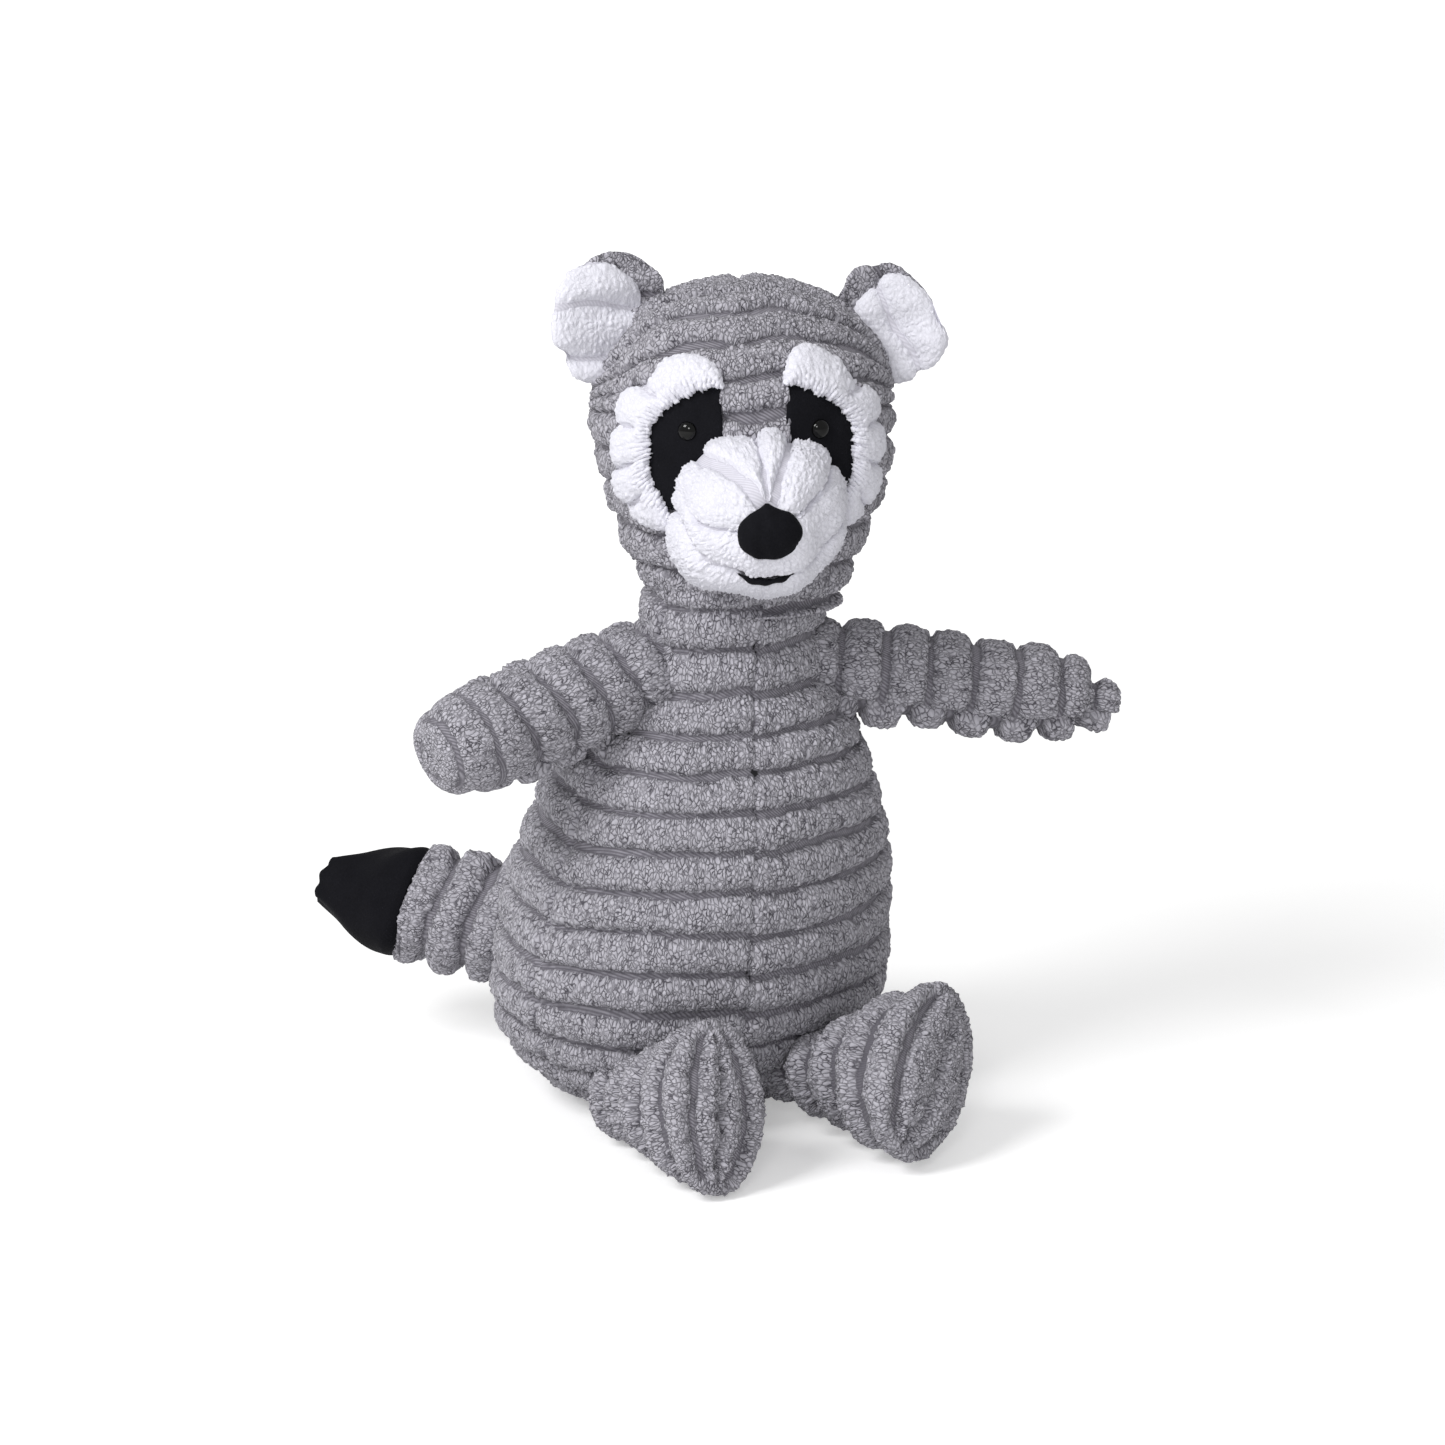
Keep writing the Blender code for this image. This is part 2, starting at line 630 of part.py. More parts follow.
def muzzle():
    envelope = head_envelope(GAP)
    middle = GAP / 2
    split = MUZZLE_CENTRE[2] - CHIN_DROP
    nose_shape = nose_mesh(0.0)
    nose_hole = cutter("nose_hole", nose_mesh(GAP))
    mouth_hole = face_prism("mouth_hole", mouth_outline(GAP), 1.0, -MOUTH_HOLE_BACK)
    pieces = {
        "muzzle_left": ((middle, split + middle), (FAR, FAR)),
        "muzzle_right": ((-FAR, split + middle), (-middle, FAR)),
        "chin": ((-FAR, -FAR), (FAR, split - middle)),
    }
    for name, ((left, low), (right, high)) in pieces.items():
        piece = part(name, muzzle_mesh(), WHITE_PLUSH)
        window = [(left, low), (right, low), (right, high), (left, high)]
        boolean(piece, "INTERSECT", face_prism(name + "_window", window, 1.0))
        boolean(piece, "DIFFERENCE", cutter(name + "_seat", envelope.copy()))
        boolean(piece, "DIFFERENCE", nose_hole)
        boolean(piece, "DIFFERENCE", mouth_hole)
    part("nose", nose_shape, BLACK_PLUSH)
    lips = part("mouth", muzzle_mesh(-GAP), BLACK_PLUSH)
    boolean(lips, "INTERSECT", face_prism("mouth_line", mouth_outline(), 1.0, -MOUTH_BACK))


def nose_mesh(by):
    mesh = ball("nose", tuple(radius + by for radius in NOSE_RADII), 12, 8)

    def peak(point):
        rise = max(0.0, 1.0 - abs(point.x) / NOSE_RADII[0]) * max(0.0, point.z)
        return Vector((point.x, point.y, point.z + NOSE_PEAK * rise))

    reshape(mesh, peak)
    across, forward, up = MUZZLE_CENTRE
    front = forward - MUZZLE_RADII[1] + NOSE_SINK
    mesh.transform(HEAD_PLACE @ Matrix.Translation((across, front, up)))
    return mesh


def ear_mesh(front, side):
    """Half of a flat cupped oval: the white front, or the grey back that rolls round its rim."""
    rim = 0.0 if front else EAR_RIM
    thick = EAR_FRONT_THICKNESS if front else EAR_BACK_THICKNESS
    radii = (EAR_HALF_WIDTH + rim, thick, EAR_HALF_HEIGHT + rim)
    mesh = ball("ear", (1.0, 1.0, 1.0), EAR_LOBES * 2, 10)
    mesh.transform(Matrix.Rotation(radians(90), 4, "X"))
    facing = -1.0 if front else 1.0

    def move(point):
        turn = atan2(point.z, point.x)
        spread = hypot(point.x, point.z)
        lobe = 1.0 + EAR_LOBE_HEIGHT / EAR_HALF_WIDTH * spread * cos(turn * EAR_LOBES)
        x = point.x * radii[0] * lobe
        z = point.z * radii[2] * lobe * (1.0 - EAR_NARROWING * point.x * side)
        swell = max(point.y * facing, 0.0) * radii[1]
        cup = EAR_CUP * (EAR_HALF_WIDTH**2 / 2 - x * x - EAR_CUP_UPRIGHT * z * z)
        return Vector((x, facing * (swell + GAP / 2) + cup, z))

    return recalculated(reshape(mesh, move))


def ears():
    sides = {"left": (1.0, EAR_LEFT_PLACE), "right": (-1.0, EAR_RIGHT_PLACE)}
    for side_name, (side, middle) in sides.items():
        place = (HEAD_PLACE @ Matrix.Translation(middle)
                 @ Matrix.Rotation(radians(-side * EAR_TURN), 4, "Z")
                 @ Matrix.Rotation(radians(side * EAR_TILT), 4, "Y"))
        for face_name, front, finish in (("front", True, WHITE_PLUSH), ("back", False, GREY_PLUSH)):
            mesh = ear_mesh(front, side)
            mesh.transform(place)
            piece = part(f"ear_{side_name}_{face_name}", mesh, finish)
            seat = cutter(f"ear_{side_name}_{face_name}_seat", head_envelope(GAP))
            boolean(piece, "DIFFERENCE", seat)


# Limbs


def aimed(tip, aim, roll=0.0):
    """The frame of a limb: its own Z runs from its tip to the point that it aims at."""
    along = (Vector(aim) - Vector(tip)).normalized()
    across = Vector((0.0, 0.0, 1.0)).cross(along).normalized()
    up = along.cross(across)
    turn = Matrix((across, up, along)).transposed().to_4x4()
    return Matrix.Translation(tip) @ turn @ Matrix.Rotation(radians(roll), 4, "Z")


def ribbed_limb(name, outline, steps, start):
    """A closed ribbed solid from an outline of (distance from the tip, half height) points."""
    points = [(radius, distance) for distance, radius in outline]
    return turned(name, closed_rows(ribbed_rows(points, start)), steps)


def arms():
    poses = {"left": (ARM_LEFT_TIP, ARM_LEFT_AIM), "right": (ARM_RIGHT_TIP, ARM_RIGHT_AIM)}
    for side_name, (tip, aim) in poses.items():
        mesh = ribbed_limb("arm", ARM_OUTLINE, ARM_STEPS, ARM_FIRST_GROOVE)
        mesh.transform(aimed(tip, aim) @ Matrix.Diagonal((ARM_THICKNESS, 1.0, 1.0, 1.0)))
        arm = part(f"arm_{side_name}", mesh, GREY_PLUSH)
        boolean(arm, "DIFFERENCE", cutter(f"arm_{side_name}_seat", torso_envelope(GAP)))
        boolean(arm, "DIFFERENCE", cutter(f"arm_{side_name}_neck", head_envelope(GAP)))


def leg_section(distance, turn):
    """A pointed oval: where the leg meets the sole it comes to a point above and below."""
    rows = np.array(LEG_SECTIONS)
    width = float(np.interp(distance, rows[:, 0], rows[:, 1]))
    height = float(np.interp(distance, rows[:, 0], rows[:, 2]))
    point = LEG_POINT * (height - width) / max(LEG_SECTIONS[0][2] - LEG_SECTIONS[0][1], 1e-6)
    return Vector((width * cos(turn) * (1.0 - max(point, 0.0) * sin(turn) ** 2), height * sin(turn)))


def leg_mesh():
    """Ribs stacked behind the sole, each a ring of the leg's pointed oval."""
    length = LEG_SECTIONS[-1][0]
    start = SOLE_THICKNESS + GAP
    rows = [(0.0, start), (SOLE_FIT, start)]
    rows += [(1.0, start + at * RIB_PITCH) for at in LEG_FIRST_RIB]
    grooves = list(np.arange(start + LEG_FIRST_GROOVE * RIB_PITCH, length, RIB_PITCH))
    for groove in grooves:
        rows += [(1.0, groove), *((1.0, groove + at * RIB_PITCH) for at in RIB_SHOULDERS)]
    back = rows[-1][1] + LEG_BACK
    rows += [(1.0, back), (0.0, back)]
    mesh = turned("leg", rows, LEG_STEPS)

    def move(point):
        turn = atan2(point.y, point.x)
        share = hypot(point.x, point.y)
        edge = leg_section(point.z, turn) * share
        if any(abs(point.z - groove) < 1e-5 for groove in grooves):
            edge *= 1.0 - RIB_HEIGHT / edge.length
        return Vector((edge.x, edge.y, point.z))

    return reshape(mesh, move)


def sole_mesh():
    """A lens-shaped disc: an outer roll of plush, a sunk woven strip, and a raised middle."""
    mesh = turned("sole", [(share, at * SOLE_THICKNESS) for share, at in SOLE_ROWS], LEG_STEPS)

    def move(point):
        turn = atan2(point.y, point.x)
        edge = leg_section(0.0, turn) * hypot(point.x, point.y)
        return Vector((edge.x, edge.y, point.z))

    return reshape(mesh, move)


def legs():
    poses = {
        "left": (LEG_LEFT_SOLE, LEG_LEFT_AIM, LEG_LEFT_ROLL),
        "right": (LEG_RIGHT_SOLE, LEG_RIGHT_AIM, LEG_RIGHT_ROLL),
    }
    for side_name, (sole_place, aim, roll) in poses.items():
        frame = aimed(sole_place, aim, roll)
        for name, mesh in (("leg", leg_mesh()), ("sole", sole_mesh())):
            mesh.transform(frame)
            piece = part(f"{name}_{side_name}", recalculated(mesh), GREY_PLUSH)
            label = f"{name}_{side_name}"
            if name == "leg":
                boolean(piece, "DIFFERENCE", cutter(label + "_seat", torso_envelope(GAP)))
            floor = prism("floor", square(FAR), -FAR, 0.0)
            boolean(piece, "DIFFERENCE", cutter(label + "_floor", floor))


def tail():
    frame = aimed(TAIL_END, TAIL_AIM)
    slant = Matrix(((1, 0, 0, 0), (0, 1, 0, 0), (0, TAIL_SLANT, 1, 0), (0, 0, 0, 1)))
    seat = cutter("tail_seat", torso_envelope(GAP))
    half = GAP / 2
    pieces = {
        "tail_tip": (-FAR, TAIL_TIP_LENGTH - half, BLACK_PLUSH),
        "tail": (TAIL_TIP_LENGTH + half, FAR, GREY_PLUSH),
    }
    for name, (low, high, finish) in pieces.items():
        mesh = ribbed_limb(name, TAIL_OUTLINE, TAIL_STEPS, TAIL_FIRST_GROOVE)
        mesh.transform(frame @ slant)
        piece = part(name, mesh, finish)
        window = prism(name + "_window", square(FAR), low, high)
        window.transform(frame @ slant)
        boolean(piece, "INTERSECT", cutter(name + "_window", window))
        boolean(piece, "DIFFERENCE", seat)


def shade_round():
    for obj in PARTS.objects:
        obj.data.shade_smooth()
        obj.data.set_sharp_from_angle(angle=radians(SHARP_ANGLE))


def build():
    torso()
    torso_stuffing()
    squeaker()
    head_panels()
    head_stuffing()
    muzzle()
    ears()
    arms()
    legs()
    tail()
    shade_round()


build()
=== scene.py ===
# %% [markdown]
# A plush raccoon dog toy, sitting on a pale floor. The real one is sewn from wide-wale plush: cloth with
# broad ribs of curly pile, and narrow grooves between them where the woven backing shows. In this lesson
# each stuffed part starts as one flat sheet of cloth, a bmesh grid, that is wrapped round a smooth form and
# sewn shut. Relief is then pressed into it: ribs, grooves, seams and clumps of pile. All of it stands on
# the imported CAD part, whose bodies and sizes stay as they are.

from itertools import product
from math import atan2, cos, pi, radians, sin

import bmesh
import bpy
import numpy as np
from mathutils import Matrix, Vector


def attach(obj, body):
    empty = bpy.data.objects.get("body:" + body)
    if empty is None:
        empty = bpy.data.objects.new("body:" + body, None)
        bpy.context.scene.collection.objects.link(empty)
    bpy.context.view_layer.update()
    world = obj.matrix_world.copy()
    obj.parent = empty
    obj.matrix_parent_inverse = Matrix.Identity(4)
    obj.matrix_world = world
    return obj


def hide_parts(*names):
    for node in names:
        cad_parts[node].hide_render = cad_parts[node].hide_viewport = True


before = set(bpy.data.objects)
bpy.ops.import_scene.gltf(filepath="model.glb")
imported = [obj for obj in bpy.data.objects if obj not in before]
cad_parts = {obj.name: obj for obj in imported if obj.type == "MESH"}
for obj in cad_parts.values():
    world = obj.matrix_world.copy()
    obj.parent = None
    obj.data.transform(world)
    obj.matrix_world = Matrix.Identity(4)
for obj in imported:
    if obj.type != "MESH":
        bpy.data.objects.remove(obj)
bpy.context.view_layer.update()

# %% [markdown]
# The camera stands where the photographer stood: a little to the toy's right, about fifteen degrees above
# the floor, with a long lens that keeps the near foot from looking large.

# %% Camera
CAMERA_PLACE = Vector((-0.3858, -1.1582, 0.4405))
CAMERA_AIM = Vector((0.0073, -0.0166, 0.1170))
CAMERA_LENS = 107.44

camera_data = bpy.data.cameras.new("photo_camera")
camera_data.lens = CAMERA_LENS
camera = bpy.data.objects.new("photo_camera", camera_data)
camera.location = CAMERA_PLACE
camera.rotation_euler = (CAMERA_AIM - CAMERA_PLACE).to_track_quat("-Z", "Y").to_euler()
bpy.context.scene.collection.objects.link(camera)
bpy.context.scene.camera = camera
bpy.context.scene.view_settings.view_transform = "Standard"
print("camera distance, m:", round((CAMERA_AIM - CAMERA_PLACE).length, 2))

# %% [markdown]
# Shader maths reads best as Python. A Value wraps one socket, and an expression on values adds its Math
# nodes. A Finish is a material in the making: its add method makes any node, and the methods after it make
# the ones that several materials share.


# %% Sockets as values
class Value:
    """A shader socket that takes part in sums."""

    def __init__(self, finish, socket):
        self.finish = finish
        self.socket = socket

    def maths(self, operation, *terms):
        return self.finish.add("ShaderNodeMath", {"operation": operation}, dict(enumerate(terms)))

    def __add__(self, other):
        return self.maths("ADD", self, other)

    def __mul__(self, other):
        return self.maths("MULTIPLY", self, other)

    def __sub__(self, other):
        return self.maths("SUBTRACT", self, other)

    def __rsub__(self, other):
        return self.maths("SUBTRACT", other, self)

    __radd__ = __add__
    __rmul__ = __mul__

    def between(self, low, high):
        """0 below low, 1 above high, and smooth in between."""
        return self.finish.add(
            "ShaderNodeMapRange", {"interpolation_type": "SMOOTHSTEP"},
            {"Value": self, "From Min": low, "From Max": high},
        )


class Finish:
    """A material whose nodes are added from Python."""

    def __init__(self, name):
        self.material = bpy.data.materials.new(name)
        self.material.use_nodes = True
        self.tree = self.material.node_tree
        self.shader = self.tree.nodes["Principled BSDF"]

    def add(self, kind, settings, values, output=0):
        """A new node with its settings made and its sockets filled or linked: one of its outputs."""
        node = self.tree.nodes.new(kind)
        for key, setting in settings.items():
            setattr(node, key, setting)
        for key, value in values.items():
            self.feed(node.inputs[key], value)
        return Value(self, node.outputs[output])

    def feed(self, socket, value):
        if isinstance(value, Value):
            self.tree.links.new(value.socket, socket)
        else:
            socket.default_value = value

    def place(self):
        """Where on the toy a point lies, in metres."""
        return self.add("ShaderNodeTexCoord", {}, {}, output=3)

    def carried(self, name, output):
        """An attribute that the mesh carries."""
        return self.add("ShaderNodeAttribute", {"attribute_name": name}, {}, output)

    def noise(self, place, scale, detail, output=0):
        return self.add("ShaderNodeTexNoise", {}, {"Vector": place, "Scale": scale, "Detail": detail}, output)

    def bump(self, height, strength, distance):
        return self.add("ShaderNodeBump", {}, {"Height": height, "Strength": strength, "Distance": distance})

    def blend(self, share, first, second):
        """One colour turning into another."""
        sockets = {"Factor": share, 6: first, 7: second}
        return self.add("ShaderNodeMix", {"data_type": "RGBA"}, sockets, output=2)

    def set(self, **sockets):
        for key, value in sockets.items():
            self.feed(self.shader.inputs[key.replace("_", " ")], value)
        return self.material


# %% [markdown]
# Light. The photograph was made under a big soft lamp from the upper left, with light coming back from all
# round. The world gives that even light, and the camera sees it as white. The floor adds a little glow for
# the camera alone, so that it reads as white paper but still takes the toy's shadow.

# %% World, lamps and floor
WORLD_LIGHT = 0.50
LAMPS = {
    "key_lamp": {"place": (-1.15, -0.50, 1.20), "size": 0.6, "power": 17.4},
    "front_lamp": {"place": (-0.55, -1.25, 0.75), "size": 0.26, "power": 4.0},
}
FLOOR_SIZE = 4.0
FLOOR_WHITE = (0.90, 0.90, 0.90, 1.0)
GLOW_NEAR = 0.34
GLOW_FAR = 0.36
GLOW_REACH = (0.2, 1.2)
BLACK = (0.0, 0.0, 0.0, 1.0)
WHITE = (1.0, 1.0, 1.0, 1.0)

world = bpy.data.worlds.new("studio")
world.use_nodes = True
links = world.node_tree.links
background = world.node_tree.nodes["Background"]
rays = world.node_tree.nodes.new("ShaderNodeLightPath")
seen = world.node_tree.nodes.new("ShaderNodeMath")
seen.operation = "MAXIMUM"
links.new(rays.outputs["Is Camera Ray"], seen.inputs[0])
links.new(rays.outputs["Is Transmission Ray"], seen.inputs[1])
level = world.node_tree.nodes.new("ShaderNodeMapRange")
level.inputs["To Min"].default_value = WORLD_LIGHT
level.inputs["To Max"].default_value = 1.0
links.new(seen.outputs[0], level.inputs["Value"])
links.new(level.outputs[0], background.inputs["Strength"])
background.inputs["Color"].default_value = WHITE
bpy.context.scene.world = world

for name, lamp in LAMPS.items():
    data = bpy.data.lights.new(name, "AREA")
    data.size = lamp["size"]
    data.energy = lamp["power"]
    lamp_object = bpy.data.objects.new(name, data)
    lamp_object.location = lamp["place"]
    lamp_object.rotation_euler = (CAMERA_AIM - lamp_object.location).to_track_quat("-Z", "Y").to_euler()
    bpy.context.scene.collection.objects.link(lamp_object)

floor_mesh = bpy.data.meshes.new("floor")
sheet = bmesh.new()
bmesh.ops.create_grid(sheet, x_segments=1, y_segments=1, size=FLOOR_SIZE)
sheet.to_mesh(floor_mesh)
sheet.free()
floor = bpy.data.objects.new("floor", floor_mesh)
bpy.context.scene.collection.objects.link(floor)
paper = Finish("floor_paper")
camera_ray = paper.add("ShaderNodeLightPath", {}, {})
away = paper.add("ShaderNodeVectorMath", {"operation": "LENGTH"}, {0: paper.place()}, output=1)
glow = camera_ray * (away.between(*GLOW_REACH) * GLOW_FAR + GLOW_NEAR)
paper.set(Base_Color=FLOOR_WHITE, Roughness=1.0, Emission_Color=paper.blend(glow, BLACK, WHITE),
          Emission_Strength=1.0)
floor_mesh.materials.append(paper.material)

# %% [markdown]
# The plush finish. Its pile is looped like terry cloth: little curls about a millimetre wide and longer than
# that across the rib. Painted light is in its colour: each curl is painted paler in its middle as a
# highlight, and the gaps between curls are painted dark as shade. A Voronoi texture stirred by noise gives
# the curls, and a finer noise the fibres. In the grooves the backing shows as a fine slanting twill. Each
# mesh carries
# three attributes for this: cloth, its place with the curls' long way squeezed; pile, which is 1 on a rib, 0
# in a groove and less than 0 in a stitched hole, which is painted near black as shadow; and unshaded, which
# falls towards 0 between two clumps and at the foot of the pile, where it paints shade into the colour.

# %% Plush
TWILL = 560.0
FIBRES = 2600.0
PATCHES = 420.0
STIR_SCALE = 0.45
STIR_REACH = 2.2
# The gap and curl terms paint light into the colour: shade in the gaps between curls, a highlight in each
# curl's middle.
GAP_WIDTH = 0.17
CURL_DOME = (0.15, 0.85)
CURL_SHARES = {"dome": 0.15, "own": 0.15, "base": 0.70}
GAP_SHADE_PATCHES = (0.28, 0.72)
LEAST_GAP_SHADE = 0.45
CLUMP_SHADE = 0.34
FIBRE_SHADE = 0.14
PILE_EDGE = (0.35, 0.65)
# Painted shadow: stitched holes and the mouth's crease turn this near black.
HOLE_EDGE = (-0.9, -0.1)
HOLE_SHADOW = (0.012, 0.012, 0.014, 1)
BUMP_SHARES = {"dome": 0.55, "gap": 0.45, "fibre": 0.25, "twill": 0.2}
# Each tint's dark is the colour that the painted shade of the pile goes to; ground_dark serves both the
# twill's dark threads and the painted shade at the foot of the pile.
TINTS = {
    "grey": {"light": (0.52, 0.507, 0.560, 1), "dark": (0.070, 0.066, 0.080, 1),
             "ground": (0.33, 0.317, 0.357, 1), "ground_dark": (0.095, 0.090, 0.107, 1)},
    "white": {"light": (0.75, 0.745, 0.812, 1), "dark": (0.48, 0.475, 0.53, 1),
              "ground": (0.74, 0.73, 0.80, 1), "ground_dark": (0.50, 0.49, 0.55, 1)},
}


def plush(name, tints, curl, gap_shade, height_share):
    """Curls on the ribs and twill in the grooves, with painted shade in the gaps and painted highlights on
    the curls.

    curl is the width of a curl, gap_shade how dark the gaps between curls are painted as shade, and
    height_share their bump.
    """
    made = Finish(name)
    place = made.place()
    cloth = made.carried("cloth", output=1)
    pile = made.carried("pile", output=2)
    crevice_unshaded = made.carried("unshaded", output=2)
    stir = made.noise(cloth, STIR_SCALE / curl, detail=2.0, output=1)
    stirred = made.add("ShaderNodeVectorMath", {"operation": "MULTIPLY_ADD"},
                       {0: stir, 1: (curl * STIR_REACH,) * 3, 2: cloth})
    cells = {"Vector": stirred, "Scale": 1.0 / curl}
    away = made.add("ShaderNodeTexVoronoi", {"feature": "F1"}, cells)
    own = made.add("ShaderNodeTexVoronoi", {"feature": "F1"}, cells, output=1)
    own = made.add("ShaderNodeSeparateColor", {}, {0: own})
    gap = made.add("ShaderNodeTexVoronoi", {"feature": "DISTANCE_TO_EDGE"}, cells).between(0.0, GAP_WIDTH)
    fibre = made.noise(place, FIBRES, detail=2.0)
    patchy = made.noise(cloth, PATCHES, detail=3.0)
    twill = made.add("ShaderNodeTexWave", {"bands_direction": "DIAGONAL"}, {"Vector": place, "Scale": TWILL})
    mask = pile.between(*PILE_EDGE)
    dome = 1.0 - away.between(*CURL_DOME)
    # Painted light: each curl is paler in its middle and darkened at its edges, with its own random tone on
    # top.
    curl_tone_and_light = gap * (dome * CURL_SHARES["dome"] + own * CURL_SHARES["own"] + CURL_SHARES["base"])
    gap_shade_depth = patchy.between(*GAP_SHADE_PATCHES) * (1.0 - LEAST_GAP_SHADE) + LEAST_GAP_SHADE
    # The tone takes off painted shade in the gaps between curls, between clumps and at the foot of the pile;
    # the fibres vary it at random.
    tone = (1.0 - (1.0 - curl_tone_and_light) * gap_shade_depth * gap_shade - (1.0 - crevice_unshaded) * gap_shade * CLUMP_SHADE
            + (fibre - 0.5) * FIBRE_SHADE)
    pile_colour = made.blend(tone, tints["dark"], tints["light"])
    # The twill's own dark threads, with painted shade where the foot of the pile meets the groove.
    ground_colour = made.blend((twill * 0.7 + fibre * 0.3) * crevice_unshaded, tints["ground_dark"], tints["ground"])
    colour = made.blend(mask, ground_colour, pile_colour)
    # Painted shadow in stitched holes and along the mouth's crease.
    colour = made.blend(pile.between(*HOLE_EDGE), HOLE_SHADOW, colour)
    height = (mask * (dome * BUMP_SHARES["dome"] + gap * BUMP_SHARES["gap"] + fibre * BUMP_SHARES["fibre"])
              + (1.0 - mask) * twill * BUMP_SHARES["twill"])
    bump = made.bump(height, strength=0.9, distance=curl * height_share)
    return made.set(Base_Color=colour, Roughness=0.95, Normal=bump, Sheen_Weight=0.12,
                    Sheen_Roughness=0.6, Specular_IOR_Level=0.12)


FINISHES = {
    "grey_plush": plush("ribbed_grey_plush", TINTS["grey"], curl=0.00105, gap_shade=0.92, height_share=0.40),
    "white_plush": plush("ribbed_white_plush", TINTS["white"], curl=0.00110, gap_shade=0.30, height_share=0.10),
}

# %% [markdown]
# Smooth black plush covers the eye patches, the nose, the mouth and the end of the tail. It is short and
# dense, so it has no tufts, only a fine nap that catches a little light. The eyes are hard glossy beads.

# %% Black plush, beads and the parts inside
NAP_PATCHES = 130.0
SCUFFS = 420.0


def short_plush(name, light, dark, grain, sheen):
    """Close-cropped plush: an even colour with a fine nap."""
    made = Finish(name)
    place = made.place()
    nap = made.noise(place, 1.0 / grain, detail=4.0)
    patchy = made.noise(place, NAP_PATCHES, detail=2.0)
    colour = made.blend(nap * 0.6 + patchy * 0.5, dark, light)
    bump = made.bump(nap, strength=0.6, distance=grain * 0.6)
    return made.set(Base_Color=colour, Roughness=0.9, Normal=bump, Sheen_Weight=sheen,
                    Sheen_Roughness=0.4, Specular_IOR_Level=0.04)


def plastic(name, colour, roughness, scuffed):
    """Moulded plastic with a faint grain, rougher where it is scuffed."""
    made = Finish(name)
    scuff = made.noise(made.place(), SCUFFS, detail=3.0)
    bump = made.bump(scuff, strength=0.05, distance=0.0001)
    return made.set(Base_Color=colour, Roughness=scuff * scuffed + roughness, Normal=bump,
                    Specular_IOR_Level=0.28)


FINISHES |= {
    "black_plush": short_plush("short_black_plush", (0.012, 0.012, 0.015, 1), (0.003, 0.003, 0.004, 1),
                               grain=0.0006, sheen=0.03),
    "fibre_fill": short_plush("fibre_fill", (0.85, 0.85, 0.85, 1), (0.60, 0.60, 0.60, 1),
                              grain=0.0012, sheen=0.2),
    "eye_plastic": plastic("black_bead", (0.002, 0.002, 0.002, 1), roughness=0.05, scuffed=0.03),
    "squeaker_plastic": plastic("squeaker_plastic", (0.75, 0.76, 0.78, 1), roughness=0.30, scuffed=0.20),
}
INNER_PARTS = {"torso_stuffing": "fibre_fill", "head_stuffing": "fibre_fill",
               "squeaker_body": "squeaker_plastic", "squeaker_reed": "squeaker_plastic"}

for node_name, slot in INNER_PARTS.items():
    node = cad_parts[node_name]
    node.data.materials.clear()
    node.data.materials.append(FINISHES[slot])
print("finishes:", *FINISHES)

# %% [markdown]
# Every form of the toy is described by an outline, smoothed by a curve through its points, and measured by
# the length along it. The ribs keep their spacing along that length, as woven cloth does.


# %% Outlines
def smooth_curve(points, steps=12):
    """Points of a Catmull-Rom curve through the given ones."""
    given = np.array(points, float)
    padded = np.vstack([2 * given[0] - given[1], given, 2 * given[-1] - given[-2]])
    found = []
    for a, b, c, d in zip(padded, padded[1:], padded[2:], padded[3:]):
        for t in np.arange(steps) / steps:
            found.append(0.5 * (2 * b + (c - a) * t + (2 * a - 5 * b + 4 * c - d) * t**2
                                + (3 * b - a - 3 * c + d) * t**3))
    found.append(given[-1])
    return np.array(found)


class Outline:
    """A curve measured by its length."""

    def __init__(self, points):
        self.curve = smooth_curve(points)
        steps = np.hypot(*np.diff(self.curve, axis=0).T)
        self.at_length = np.concatenate([[0.0], np.cumsum(steps)])
        self.length = float(self.at_length[-1])

    def at(self, distance):
        return [np.interp(distance, self.at_length, self.curve[:, k]) for k in (0, 1)]


def fade(value, low, high):
    """0 below low, 1 above high, and smooth in between. The ends may be given in either order."""
    share = np.clip((value - low) / (high - low), 0.0, 1.0)
    return share * share * (3.0 - 2.0 * share)


def spot(*offsets):
    """1 in the middle of a round spot, given offsets in units of its size, and 0 away from it."""
    return np.exp(-sum(offset**2 for offset in offsets))


# %% [markdown]
# Nothing handmade is even. Drift is a slow, smooth wander, made from a few waves in chosen directions, and
# clumps gives each lump of pile its own height, from a jumble of points in space. Both come out the same
# on every run. Wander adds several drifts up, each with its height, its distance and its seed. Strands and
# lots make the long locks that hang side by side round the eye patches and on the muzzle.


# %% Drift and clumps
WAVES = 7
WAVE_STRETCH = (0.6, 1.5)
WAVE_LEVEL = 3.2
LARGEST_LOT = 0x7FFFFFFF
CLUMP_EDGE = 0.45


def drift(points, size, seed):
    """A smooth wander between about -1 and 1 over the given distance."""
    draw = np.random.default_rng(seed)
    total = np.zeros(points.shape[:-1])
    for _ in range(WAVES):
        direction = draw.normal(size=3)
        direction *= draw.uniform(*WAVE_STRETCH) / np.linalg.norm(direction) * 2 * pi / size
        total += np.sin(points @ direction + draw.uniform(0, 2 * pi))
    return total / WAVE_LEVEL


def wander(points, terms):
    """The sum of several drifts, each given by its height, distance and seed."""
    return sum(height * drift(points, size, seed) for height, size, seed in terms)


